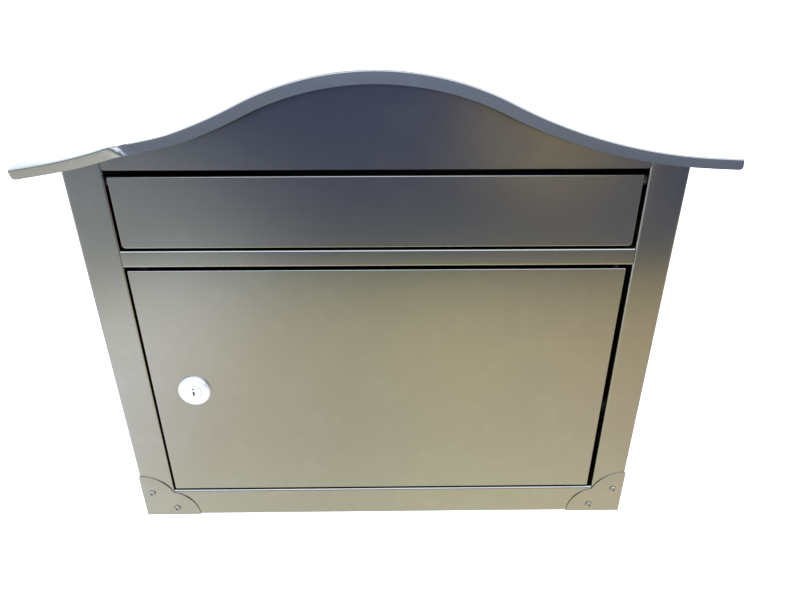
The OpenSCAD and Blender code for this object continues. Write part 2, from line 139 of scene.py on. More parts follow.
class Bench:
    """Hand tools for shaping one piece at a time. Each leaves Blender in object mode."""

    @staticmethod
    def clear() -> None:
        """Leaves edit mode and deselects everything."""
        active = bpy.context.view_layer.objects.active
        if active is not None and active.mode != "OBJECT":
            bpy.ops.object.mode_set(mode="OBJECT")
        bpy.ops.object.select_all(action="DESELECT")

    @staticmethod
    def take(piece: bpy.types.Object) -> None:
        """Makes a piece the only selected object, and the active one.

        Args:
            piece: the piece.
        """
        Bench.clear()
        piece.select_set(True)
        bpy.context.view_layer.objects.active = piece

    @staticmethod
    @contextmanager
    def editing(piece: bpy.types.Object, mode: str = "FACE") -> Iterator[None]:
        """Opens a piece in edit mode with nothing selected.

        Args:
            piece: the object to edit.
            mode: what is selected, VERT, EDGE or FACE.
        """
        Bench.take(piece)
        bpy.ops.object.mode_set(mode="EDIT")
        bpy.ops.mesh.select_mode(type=mode)
        bpy.ops.mesh.select_all(action="DESELECT")
        yield
        bpy.ops.object.mode_set(mode="OBJECT")

    @staticmethod
    def pick_faces(piece: bpy.types.Object, test: FaceTest) -> int:
        """Selects the faces whose centre and normal pass a test, in edit mode.

        Args:
            piece: the piece, in edit mode.
            test: takes a face's centre and normal, and says whether it is selected.

        Returns:
            How many faces are selected.
        """
        mesh = bmesh.from_edit_mesh(piece.data)
        for face in mesh.faces:
            face.select_set(test(face.calc_center_median(), face.normal))
        bmesh.update_edit_mesh(piece.data)
        return sum(face.select for face in mesh.faces)

    @staticmethod
    def pick_edges(piece: bpy.types.Object, test: Test) -> int:
        """Selects the edges both of whose ends pass a test, in edit mode.

        Args:
            piece: the piece, in edit mode.
            test: takes the place of an edge's end.

        Returns:
            How many edges are selected.
        """
        mesh = bmesh.from_edit_mesh(piece.data)
        bpy.ops.mesh.select_all(action="DESELECT")
        for edge in mesh.edges:
            if all(test(vertex.co) for vertex in edge.verts):
                edge.select_set(True)
        bmesh.update_edit_mesh(piece.data)
        return sum(edge.select for edge in mesh.edges)

    @staticmethod
    def pick_points(piece: bpy.types.Object, test: Test) -> int:
        """Selects the vertices that pass a test, in edit mode.

        Args:
            piece: the piece, in edit mode.
            test: takes a vertex's place.

        Returns:
            How many vertices are selected.
        """
        mesh = bmesh.from_edit_mesh(piece.data)
        for vertex in mesh.verts:
            vertex.select_set(test(vertex.co))
        bmesh.update_edit_mesh(piece.data)
        return sum(vertex.select for vertex in mesh.verts)

    @staticmethod
    def extrude_edges(piece: bpy.types.Object, test: Test, step: Sequence[float]) -> None:
        """Draws a new strip of sheet out of the edges that pass a test.

        Args:
            piece: the sheet.
            test: true at both ends of each edge that is drawn out.
            step: how far and which way, in metres.
        """
        with Bench.editing(piece, "EDGE"):
            if not Bench.pick_edges(piece, test):
                raise ValueError(f"{piece.name}: no edge to extrude")
            bpy.ops.mesh.extrude_edges_move(TRANSFORM_OT_translate={"value": tuple(step)})

    @staticmethod
    def draw_out(step: float) -> None:
        """Extrudes the selected faces along Y, in edit mode."""
        bpy.ops.mesh.extrude_region_move(TRANSFORM_OT_translate={"value": (0, step, 0)})

    @staticmethod
    def fold(piece: bpy.types.Object, test: Test, radius: float, segments: int = 5) -> None:
        """Rounds the folds whose edges pass a test.

        Args:
            piece: the sheet.
            test: true at both ends of each edge that is rounded.
            radius: the fold's radius.
            segments: how many flats the fold has.
        """
        with Bench.editing(piece, "EDGE"):
            if Bench.pick_edges(piece, test):
                bpy.ops.mesh.bevel(offset=radius, offset_type="OFFSET", segments=segments,
                                   profile=0.5, affect="EDGES", clamp_overlap=True)

    @staticmethod
    def bisect(piece: bpy.types.Object, place: Point, normal: Point, clear_outer: bool = False,
               fill: bool = False, near: Test | None = None) -> None:
        """Cuts a piece with a plane.

        Args:
            piece: the piece.
            place: a point on the plane.
            normal: the plane's normal.
            clear_outer: whether to drop what lies past the plane.
            fill: whether to close the cut.
            near: true for the centre of each face that may be cut; all of them if left out.
        """
        with Bench.editing(piece, "FACE"):
            if near is None:
                bpy.ops.mesh.select_all(action="SELECT")
            elif not Bench.pick_faces(piece, lambda centre, _: near(centre)):
                return
            bpy.ops.mesh.bisect(plane_co=place, plane_no=normal, clear_outer=clear_outer,
                                use_fill=fill, threshold=TOUCH / 2)

    @staticmethod
    def move_points(piece: bpy.types.Object, change: Callable[[Vector], Vector]) -> None:
        """Moves every vertex to where change says.

        Args:
            piece: the piece.
            change: takes a vertex's place and gives its new one.
        """
        for vertex in piece.data.vertices:
            vertex.co = change(vertex.co.copy())
        piece.data.update()

    @staticmethod
    def modify(piece: bpy.types.Object, kind: str, **settings: object) -> None:
        """Adds one modifier with its settings and applies it.

        Args:
            piece: the piece.
            kind: the modifier's type.
            settings: the modifier's own properties.
        """
        Bench.take(piece)
        bpy.ops.object.modifier_add(type=kind)
        modifier = piece.modifiers[-1]
        for name, value in settings.items():
            setattr(modifier, name, value)
        bpy.ops.object.modifier_apply(modifier=modifier.name)

    @staticmethod
    def merge(piece: bpy.types.Object, distance: float = TOUCH) -> None:
        """Merges doubled vertices.

        Args:
            piece: the piece.
            distance: how near two vertices lie that are merged.
        """
        with Bench.editing(piece, "VERT"):
            bpy.ops.mesh.select_all(action="SELECT")
            bpy.ops.mesh.remove_doubles(threshold=distance)

    @staticmethod
    def face_outwards(piece: bpy.types.Object) -> None:
        """Turns the normals of a closed piece outwards.

        Args:
            piece: the piece.
        """
        with Bench.editing(piece, "FACE"):
            bpy.ops.mesh.select_all(action="SELECT")
            bpy.ops.mesh.normals_make_consistent(inside=False)

    @staticmethod
    def settle(piece: bpy.types.Object) -> None:
        """Puts a piece's place into its mesh, so that its object sits at the origin."""
        Bench.take(piece)
        bpy.ops.object.transform_apply(location=True, rotation=True, scale=True)

    @staticmethod
    def smooth(piece: bpy.types.Object, angle: float = 32.0) -> None:
        """Shades a piece smooth up to an angle, with its flats kept flat.

        Args:
            piece: the piece.
            angle: the sharpest bend that is shaded smooth, in degrees.
        """
        Bench.take(piece)
        bpy.ops.object.shade_smooth_by_angle(angle=math.radians(angle))
        Bench.modify(piece, "WEIGHTED_NORMAL", keep_sharp=True, weight=60)

    @staticmethod
    def named(name: str) -> bpy.types.Object:
        """Names the piece that an operator has just made, and returns it."""
        piece = bpy.context.object
        piece.name = piece.data.name = name
        return piece

    @staticmethod
    def sheet(name: str, corners: Sequence[Point]) -> bpy.types.Object:
        """Starts a sheet as a plane with four given corners, in order round its edge.

        Args:
            name: the piece's name.
            corners: the four corners, in order round the edge.

        Returns:
            The sheet, without thickness.
        """
        Bench.clear()
        bpy.ops.mesh.primitive_plane_add(size=1)
        piece = Bench.named(name)
        order = [0, 1, 3, 2]
        for index, corner in zip(order, corners):
            piece.data.vertices[index].co = Vector(corner)
        piece.data.update()
        return piece

    @staticmethod
    def grid(name: str, across: int, up: int,
             place: Callable[[float, float], Sequence[float]]) -> bpy.types.Object:
        """Starts a sheet as a grid, each vertex put in place from its two shares, 0 to 1.

        Args:
            name: the piece's name.
            across: how many steps the grid has along its first share.
            up: how many steps it has along its second share.
            place: gives a vertex's place, in metres, from its shares.

        Returns:
            The sheet, without thickness.
        """
        Bench.clear()
        bpy.ops.mesh.primitive_grid_add(x_subdivisions=across, y_subdivisions=up, size=1)
        piece = Bench.named(name)
        Bench.move_points(piece, lambda co: Vector(place(co.x + 0.5, co.y + 0.5)))
        return piece

    @staticmethod
    def block(name: str, low: Sequence[float], high: Sequence[float]) -> bpy.types.Object:
        """Starts a piece as a block between two corners.

        Args:
            name: the piece's name.
            low: its lowest corner.
            high: its highest corner.

        Returns:
            The block.
        """
        Bench.clear()
        bpy.ops.mesh.primitive_cube_add(size=1)
        piece = Bench.named(name)
        low, high = Vector(low), Vector(high)
        for vertex in piece.data.vertices:
            vertex.co = Vector([low[k] + (vertex.co[k] + 0.5) * (high[k] - low[k]) for k in range(3)])
        return piece

    @staticmethod
    def round_bar(name: str, radius: float, start: Sequence[float], length: float, axis: Axis,
                  sides: int = 48) -> bpy.types.Object:
        """Starts a piece as a round bar that runs from start along an axis.

        Args:
            name: the piece's name.
            radius: its radius.
            start: the centre of its first end.
            length: its length.
            axis: which way it runs.
            sides: how many flats it has round it.

        Returns:
            The bar.
        """
        Bench.clear()
        bpy.ops.mesh.primitive_cylinder_add(vertices=sides, radius=radius, depth=length,
                                            end_fill_type="NGON")
        piece = Bench.named(name)
        piece.data.transform(Matrix.Translation(Vector(start)) @ axis.turn
                             @ Matrix.Translation((0, 0, length / 2)))
        return piece

    @staticmethod
    def drill(piece: bpy.types.Object, radius: float, places: Sequence[Sequence[float]], axis: Axis,
              sides: int = 48) -> None:
        """Bores a round hole through a sheet at each of some places in it.

        Args:
            piece: the sheet.
            radius: the holes' radius.
            places: each hole's centre.
            axis: which way the holes run.
            sides: how many flats each hole has.
        """
        reach = 4 * MM
        for place in places:
            start = Vector(place) - axis.turn @ Vector((0, 0, reach))
            Bench.cut(piece, [Bench.round_bar("drill", radius, start, 2 * reach, axis, sides)])

    @staticmethod
    def cut(piece: bpy.types.Object, tools: Sequence[bpy.types.Object], how: str = "DIFFERENCE") -> None:
        """Cuts a piece with each tool in turn, or joins it to them, and removes the tools.

        Args:
            piece: the piece.
            tools: the pieces that cut it or are joined to it.
            how: the boolean's operation.
        """
        for tool in tools:
            Bench.modify(piece, "BOOLEAN", operation=how, solver="EXACT", object=tool)
            bpy.data.objects.remove(tool)

    @staticmethod
    def join(name: str, parts: Sequence[bpy.types.Object]) -> bpy.types.Object:
        """Joins separate solids into one piece.

        Args:
            name: the joined piece's name.
            parts: the solids.

        Returns:
            The joined piece.
        """
        Bench.take(parts[0])
        for part in parts:
            part.select_set(True)
        bpy.ops.object.join()
        piece = Bench.named(name)
        return piece

    @staticmethod
    def copy(piece: bpy.types.Object, name: str, move: Matrix) -> bpy.types.Object:
        """Copies a piece with its own mesh, moved by a matrix, with its faces kept outwards.

        Args:
            piece: what is copied.
            name: the copy's name.
            move: the matrix for the copy's mesh.

        Returns:
            The copy.
        """
        twin = piece.copy()
        twin.data = piece.data.copy()
        twin.name = twin.data.name = name
        bpy.context.scene.collection.objects.link(twin)
        twin.data.transform(move)
        if move.determinant() < 0:
            twin.data.flip_normals()
        return twin


@dataclass(frozen=True)
class SheetSteel:
    """The stock that the case is folded from."""

    thickness: float = 1.2 * MM
    edge_round: float = 0.22 * MM

    def thicken(self, piece: bpy.types.Object, outer: FaceTest,
                edge_round: float | None = None) -> None:
        """Gives a folded sheet its thickness, inwards from its outer side, and eases its edges.

        Args:
            piece: the folded sheet, without thickness.
            outer: true for a face, by centre and normal, that faces the way its outer side does.
            edge_round: the radius of the cut edges, if not the usual one.
        """
        Bench.merge(piece)
        faces = piece.data.polygons
        with Bench.editing(piece, "FACE"):
            bpy.ops.mesh.select_all(action="SELECT")
            bpy.ops.mesh.normals_make_consistent(inside=False)
        right = sum(face.area for face in faces if outer(face.center, face.normal))
        if right < 0.5 * sum(face.area for face in faces if outer(face.center, face.normal)
                             or outer(face.center, -face.normal)):
            piece.data.flip_normals()
        Bench.modify(piece, "SOLIDIFY", thickness=self.thickness, offset=-1.0,
                     use_even_offset=True, use_quality_normals=True)
        Bench.modify(piece, "BEVEL", width=edge_round or self.edge_round, segments=3,
                     limit_method="ANGLE", angle_limit=SHARP)
        Bench.smooth(piece)


STEEL = SheetSteel()


# --------------------------------------------------------------------------------------------
# Finishes
# --------------------------------------------------------------------------------------------


class Tree:
    """A short way to lay nodes in a material or a node group and link them."""

    def __init__(self, tree: bpy.types.NodeTree) -> None:
        """Works in one node tree."""
        self.tree = tree

    def node(self, kind: str, inputs: dict | None = None, **settings: object) -> bpy.types.Node:
        """Adds a node.

        Args:
            kind: the node's type.
            inputs: for each socket, its value or the output that feeds it.
            settings: the node's own properties.

        Returns:
            The new node.
        """
        made = self.tree.nodes.new(kind)
        for name, value in settings.items():
            setattr(made, name, value)
        self.feed(made, inputs or {})
        return made

    def feed(self, node: bpy.types.Node, inputs: dict) -> None:
        """Sets a node's inputs, each to a value or to the output that feeds it.

        Args:
            node: the node.
            inputs: for each socket, its value or the output that feeds it.
        """
        for name, value in inputs.items():
            if isinstance(value, bpy.types.NodeSocket):
                self.tree.links.new(value, node.inputs[name])
            else:
                node.inputs[name].default_value = value

    def math(self, operation: str, first: object, second: object = 0.0) -> bpy.types.NodeSocket:
        """Adds a math node and returns its output."""
        return self.node("ShaderNodeMath", {0: first, 1: second}, operation=operation).outputs[0]

    def vector(self, operation: str, inputs: dict) -> bpy.types.NodeSocket:
        """Adds a vector math node and returns its vector."""
        return self.node("ShaderNodeVectorMath", inputs, operation=operation).outputs["Vector"]

    def mix(self, factor: object, first: object, second: object) -> bpy.types.NodeSocket:
        """Mixes two colours, each an output or three numbers, and returns the result.

        Args:
            factor: the share of the second colour.
            first: the first colour.
            second: the second colour.

        Returns:
            The mixed colour.
        """
        first, second = ((*c, 1.0) if isinstance(c, tuple) else c for c in (first, second))
        return self.node("ShaderNodeMix", {"Factor": factor, "A": first, "B": second},
                         data_type="RGBA").outputs["Result"]

    def bump(self, strength: float, distance: float, height: bpy.types.NodeSocket
             ) -> bpy.types.NodeSocket:
        """Adds a bump and returns its normal."""
        return self.node("ShaderNodeBump", {"Strength": strength, "Distance": distance,
                                            "Height": height}).outputs["Normal"]

    def ramp(self, share: bpy.types.NodeSocket, stops: Sequence[tuple[float, Point]]
             ) -> bpy.types.NodeSocket:
        """Lays a colour ramp and returns its colour.

        Args:
            share: the output that picks the colour, from 0 to 1.
            stops: each stop's place and colour.

        Returns:
            The ramp's colour.
        """
        ramp = self.node("ShaderNodeValToRGB", {"Fac": share})
        points = ramp.color_ramp.elements
        points.remove(points[1])
        for index, (place, colour) in enumerate(stops):
            point = points[0] if index == 0 else points.new(place)
            point.position, point.color = place, (*colour, 1.0)
        return ramp.outputs["Color"]

    def spread(self, value: bpy.types.NodeSocket, low: float, high: float, to_low: float = 0.0,
               to_high: float = 1.0, smooth: bool = False) -> bpy.types.NodeSocket:
        """Maps a value from one range to another, held at its ends, and returns the result.

        Args:
            value: the output that is mapped.
            low: where its range starts.
            high: where its range ends.
            to_low: what the start becomes.
            to_high: what the end becomes.
            smooth: whether it eases in and out.

        Returns:
            The mapped value.
        """
        made = self.node("ShaderNodeMapRange", {"Value": value, "From Min": low, "From Max": high,
                                                "To Min": to_low, "To Max": to_high},
                         interpolation_type="SMOOTHSTEP" if smooth else "LINEAR")
        return made.outputs["Result"]


class Effects:
    """Node groups that more than one finish uses, each built once."""

    SPARKLE = (0.9, 1.0)
    SMUDGE = (0.52, 0.72)
    DUST = (0.5, 0.8)
    SCRATCH = (0.74, 0.8)
    HAIR_TURN = 0.6
    HAIR_LENGTH = 14.0

    @staticmethod
    def _group(name: str, inputs: dict[str, float], outputs: Sequence[str]
               ) -> tuple[bpy.types.NodeTree, Tree, bpy.types.Node, bpy.types.Node]:
        """Starts a group with float inputs and outputs, and object coordinates to read.

        Args:
            name: the group's name.
            inputs: each input's name and usual value.
            outputs: each output's name.

        Returns:
            The group, its tree, and its input and output nodes.
        """
        group = bpy.data.node_groups.new(name, "ShaderNodeTree")
        for key, value in inputs.items():
            socket = group.interface.new_socket(key, in_out="INPUT", socket_type="NodeSocketFloat")
            socket.default_value = value
        for key in outputs:
            group.interface.new_socket(key, in_out="OUTPUT", socket_type="NodeSocketFloat")
        tree = Tree(group)
        return group, tree, tree.node("NodeGroupInput"), tree.node("NodeGroupOutput")

    @staticmethod
    def flake() -> bpy.types.NodeTree:
        """Metal flake and the fine pebble of a sprayed coat.

        Returns:
            A group that puts out Sparkle, from 0 to 1 and mostly 0, and Pebble, from 0 to 1.
        """
        found = bpy.data.node_groups.get("coat_flake")
        if found:
            return found
        group, tree, inside, outside = Effects._group(
            "coat_flake", {"Flake Scale": 9000.0, "Pebble Scale": 1500.0}, ("Sparkle", "Pebble"))
        place = tree.node("ShaderNodeTexCoord").outputs["Object"]
        cells = tree.node("ShaderNodeTexVoronoi", {"Vector": place, "Scale": inside.outputs[0]},
                          feature="F1")
        lit = tree.node("ShaderNodeSeparateColor", {"Color": cells.outputs["Color"]}).outputs[0]
        pebble = tree.node("ShaderNodeTexNoise", {"Vector": place, "Scale": inside.outputs[1],
                                                  "Detail": 2.0, "Roughness": 0.55})
        tree.feed(outside, {"Sparkle": tree.spread(lit, *Effects.SPARKLE),
                            "Pebble": pebble.outputs["Fac"]})
        return group

    @staticmethod
    def handling() -> bpy.types.NodeTree:
        """Smudges, drifts of dust and short hair scratches left by handling.

        Returns:
            A group that puts out Smudge, Dust and Scratch, each from 0 to 1.
        """
        found = bpy.data.node_groups.get("coat_handling")
        if found:
            return found
        group, tree, inside, outside = Effects._group(
            "coat_handling", {"Smudge Scale": 16.0, "Dust Scale": 55.0, "Scratch Scale": 120.0},
            ("Smudge", "Dust", "Scratch"))
        place = tree.node("ShaderNodeTexCoord").outputs["Object"]
        smudge = tree.node("ShaderNodeTexNoise", {"Vector": place, "Scale": inside.outputs[0],
                                                  "Detail": 3.0, "Distortion": 0.6})
        dust = tree.node("ShaderNodeTexNoise", {"Vector": place, "Scale": inside.outputs[1],
                                                "Detail": 5.0, "Roughness": 0.7})
        turned = tree.node("ShaderNodeMapping", {
            "Vector": place, "Rotation": (0.0, Effects.HAIR_TURN, 0.0),
            "Scale": (1.0, 1.0, Effects.HAIR_LENGTH)})
        hair = tree.node("ShaderNodeTexNoise", {"Vector": turned.outputs[0], "Detail": 0.0,
                                                "Scale": inside.outputs[2]})
        tree.feed(outside, {"Smudge": tree.spread(smudge.outputs["Fac"], *Effects.SMUDGE),
                            "Dust": tree.spread(dust.outputs["Fac"], *Effects.DUST),
                            "Scratch": tree.spread(hair.outputs["Fac"], *Effects.SCRATCH)})
        return group


@dataclass(frozen=True)
class PowderCoat:
    """A satin metallic powder coat: dark pewter with fine flake."""

    name: str
    colour: Point = (0.34, 0.322, 0.268)
    flake_colour: Point = (0.46, 0.445, 0.385)
    dust_colour: Point = (0.75, 0.74, 0.70)
    dust: float = 0.05
    roughness: float = 0.18
    smudge: float = 0.05
    pebble_roughness: float = 0.06
    pebble_height: float = 0.004 * MM
    scratch_share: float = 0.4
    bump: float = 0.35

    def make(self) -> bpy.types.Material:
        """Builds the material.

        Returns:
            The material.
        """
        material, tree, shader = new_material(self.name)
        flake = tree.node("ShaderNodeGroup", node_tree=Effects.flake()).outputs
        marks = tree.node("ShaderNodeGroup", node_tree=Effects.handling()).outputs
        base = tree.mix(flake["Sparkle"], self.colour, self.flake_colour)
        dusty = tree.mix(tree.math("MULTIPLY", marks["Dust"], self.dust), base, self.dust_colour)
        smudged = tree.spread(marks["Smudge"], 0.0, 1.0, self.roughness, self.roughness + self.smudge)
        rough = tree.math("ADD", smudged, tree.math("MULTIPLY", flake["Pebble"], self.pebble_roughness))
        height = tree.math("SUBTRACT", flake["Pebble"],
                           tree.math("MULTIPLY", marks["Scratch"], self.scratch_share))
        tree.feed(shader, {"Base Color": dusty, "Roughness": rough, "Metallic": 1.0,
                           "Normal": tree.bump(self.bump, self.pebble_height, height)})
        return material


@dataclass(frozen=True)
class PlainMetal:
    """A bare or plated metal with a faint grain."""

    name: str
    colour: Point
    roughness: float
    grain: float = 0.04
    metallic: float = 1.0
    smudge_scale: float = 160.0
    dust_scale: float = 700.0
    dulling: float = 0.2
    dull_share: float = 0.72
    bump: float = 0.2
    scratch_depth: float = 0.01 * MM

    def make(self) -> bpy.types.Material:
        """Builds the material.

        Returns:
            The material.
        """
        material, tree, shader = new_material(self.name)
        marks = tree.node("ShaderNodeGroup", node_tree=Effects.handling())
        tree.feed(marks, {"Smudge Scale": self.smudge_scale, "Dust Scale": self.dust_scale})
        shade = tree.mix(tree.math("MULTIPLY", marks.outputs["Dust"], self.dulling), self.colour,
                         tuple(self.dull_share * c for c in self.colour))
        rough = tree.spread(marks.outputs["Smudge"], 0.0, 1.0, self.roughness,
                            self.roughness + self.grain)
        normal = tree.bump(self.bump, self.scratch_depth, marks.outputs["Scratch"])
        tree.feed(shader, {"Base Color": shade, "Roughness": rough, "Normal": normal,
                           "Metallic": self.metallic})
        return material


@dataclass(frozen=True)
class Moulded:
    """A moulded plastic or rubber with a fine matt skin."""

    name: str
    colour: Point
    roughness: float
    grain: float = 0.1
    dull_share: float = 0.9
    bump: float = 0.3
    pebble_height: float = 0.02 * MM

    def make(self) -> bpy.types.Material:
        """Builds the material.

        Returns:
            The material.
        """
        material, tree, shader = new_material(self.name)
        pebble = tree.node("ShaderNodeGroup", node_tree=Effects.flake()).outputs["Pebble"]
        shade = tree.mix(pebble, tuple(self.dull_share * c for c in self.colour), self.colour)
        rough = tree.spread(pebble, 0.3, 0.7, self.roughness, self.roughness + self.grain)
        tree.feed(shader, {"Base Color": shade, "Roughness": rough,
                           "Normal": tree.bump(self.bump, self.pebble_height, pebble)})
        return material


def new_material(name: str) -> tuple[bpy.types.Material, Tree, bpy.types.Node]:
    """Starts a material with one Principled shader.

    Args:
        name: the material's name.

    Returns:
        The material, its tree and its shader node.
    """
    material = bpy.data.materials.new(name)
    material.use_nodes = True
    shader = material.node_tree.nodes["Principled BSDF"]
    return material, Tree(material.node_tree), shader


class FinishBook:
    """Holds one material for each of the record's slots."""

    RECIPES = {
        Slot.CASE: PowderCoat("case_powder_coat"),
        Slot.ROOF: PowderCoat("roof_powder_coat"),
        Slot.DOOR: PowderCoat("door_powder_coat"),
        Slot.TRIM: PowderCoat("trim_powder_coat"),
        Slot.CHROME: PlainMetal("lock_face_satin_chrome", (0.92, 0.92, 0.92), 0.3, metallic=0.72),
        Slot.PLUG: PlainMetal("key_plug_nickel", (0.86, 0.86, 0.85), 0.3, metallic=0.92),
        Slot.ZINC: PlainMetal("dull_zinc", (0.42, 0.43, 0.45), 0.38, 0.1),
        # The flap's bushes and the door's pivot washer take a near-black nylon, as dark as the gaps they
        # sit in.
        Slot.NYLON: Moulded("dark_nylon", (0.035, 0.035, 0.038), 0.4),
        Slot.RUBBER: Moulded("black_rubber", (0.02, 0.02, 0.02), 0.7),
    }

    def __init__(self) -> None:
        """Builds every finish once."""
        self.materials = {slot: recipe.make() for slot, recipe in self.RECIPES.items()}
        # The door's pivot pins take a near-black steel, as dark as the gap they sit in.
        self.dark_steel = PlainMetal("near_black_steel", (0.09, 0.09, 0.095), 0.5).make()

    def dress(self, piece: bpy.types.Object, slot: Slot) -> None:
        """Gives a piece the finish of a slot."""
        piece.data.materials.clear()
        piece.data.materials.append(self.materials[slot])

    def dress_node(self, node: bpy.types.Object, slot: Slot, dark: bool = False) -> None:
        """Gives a carried-over node its finish, in the material slots that its mesh has.

        Args:
            node: the node.
            slot: the record's slot for it.
            dark: whether it takes the near-black steel finish, whatever its slot.
        """
        finish = self.dark_steel if dark else self.materials[slot]
        if not node.material_slots:
            node.data.materials.append(finish)
        for material_slot in node.material_slots:
            material_slot.material = finish


# --------------------------------------------------------------------------------------------
# The roof's line, which the panels under it follow too
# --------------------------------------------------------------------------------------------


@dataclass(frozen=True)
class RoofLine:
    """A crown arc, a sweep arc the other way and a straight eave, all tangent. In millimetres."""

    crown_top: float = 346.2
    crown_radius: float = 189.3
    crown_angle: float = math.radians(25.2)
    sweep_radius: float = 335.0
    eave_angle: float = math.radians(2.8)

    def height(self, x: float, depth: float = 0.0) -> float:
        """The height at x of the surface that lies depth below the roof's skin.

        Args:
            x: how far from the centre line, either way.
            depth: how far below the skin.

        Returns:
            The height.
        """
        place = abs(x)
        reach = self.crown_radius + self.sweep_radius
        crown_z = self.crown_top - self.crown_radius
        sweep_x = reach * math.sin(self.crown_angle)
        sweep_z = crown_z + reach * math.cos(self.crown_angle)
        if place < (self.crown_radius - depth) * math.sin(self.crown_angle):
            return crown_z + math.sqrt((self.crown_radius - depth) ** 2 - place ** 2)
        if place < sweep_x - (self.sweep_radius + depth) * math.sin(self.eave_angle):
            return sweep_z - math.sqrt((self.sweep_radius + depth) ** 2 - (sweep_x - place) ** 2)
        eave_x = sweep_x - self.sweep_radius * math.sin(self.eave_angle)
        eave_z = sweep_z - self.sweep_radius * math.cos(self.eave_angle)
        return eave_z - (place - eave_x) * math.tan(self.eave_angle) - depth / math.cos(self.eave_angle)

    def metres(self, x: float, depth: float = 0.0) -> float:
        """The same height, with every length in metres."""
        return self.height(x / MM, depth / MM) * MM


LINE = RoofLine()


# --------------------------------------------------------------------------------------------
# Sub-assemblies
# --------------------------------------------------------------------------------------------


@dataclass
class Layout:
    """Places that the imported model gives, in metres."""

    half_width: float
    front: float
    back: float
    opening: float
    jamb: float
    door_low: float
    door_high: float
    flap_low: float
    flap_high: float
    roof_gap: float = 0.1 * MM

    @classmethod
    def read(cls) -> "Layout":
        """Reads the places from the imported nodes' boxes.

        Returns:
            The layout.
        """
        back_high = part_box("back_panel")[1]
        rail_low, rail_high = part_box("mid_rail")
        floor_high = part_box("floor_pan")[1]
        gable_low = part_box("gable_panel")[0]
        return cls(half_width=back_high.x, front=rail_low.y, back=back_high.y, opening=rail_high.x,
                   jamb=rail_high.y, door_low=floor_high.z, door_high=rail_low.z,
                   flap_low=rail_high.z, flap_high=gable_low.z)

    def under_roof(self, x: float) -> float:
        """The height of a panel's top edge at x."""
        return LINE.metres(x, STEEL.thickness + self.roof_gap)


@dataclass
class SubAssembly:
    """A group of pieces that is built, dressed and fixed to the model's bodies."""

    layout: Layout
    book: FinishBook

    def place(self, piece: bpy.types.Object, body: Body, slot: Slot, node: str) -> None:
        """Finishes one piece: its material, the body that it rides on and the node it stands for.

        Args:
            piece: the finished shape.
            body: the body that it rides on.
            slot: the record's slot for its finish.
            node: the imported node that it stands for.
        """
        Bench.settle(piece)
        Bench.clear()
        self.book.dress(piece, slot)
        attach(piece, body.value)
        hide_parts(node)
        log.info("%s: %d faces, rides on %s", piece.name, len(piece.data.polygons), body.value)

    def build(self) -> None:
        """Builds every piece of the sub-assembly."""
        raise NotImplementedError


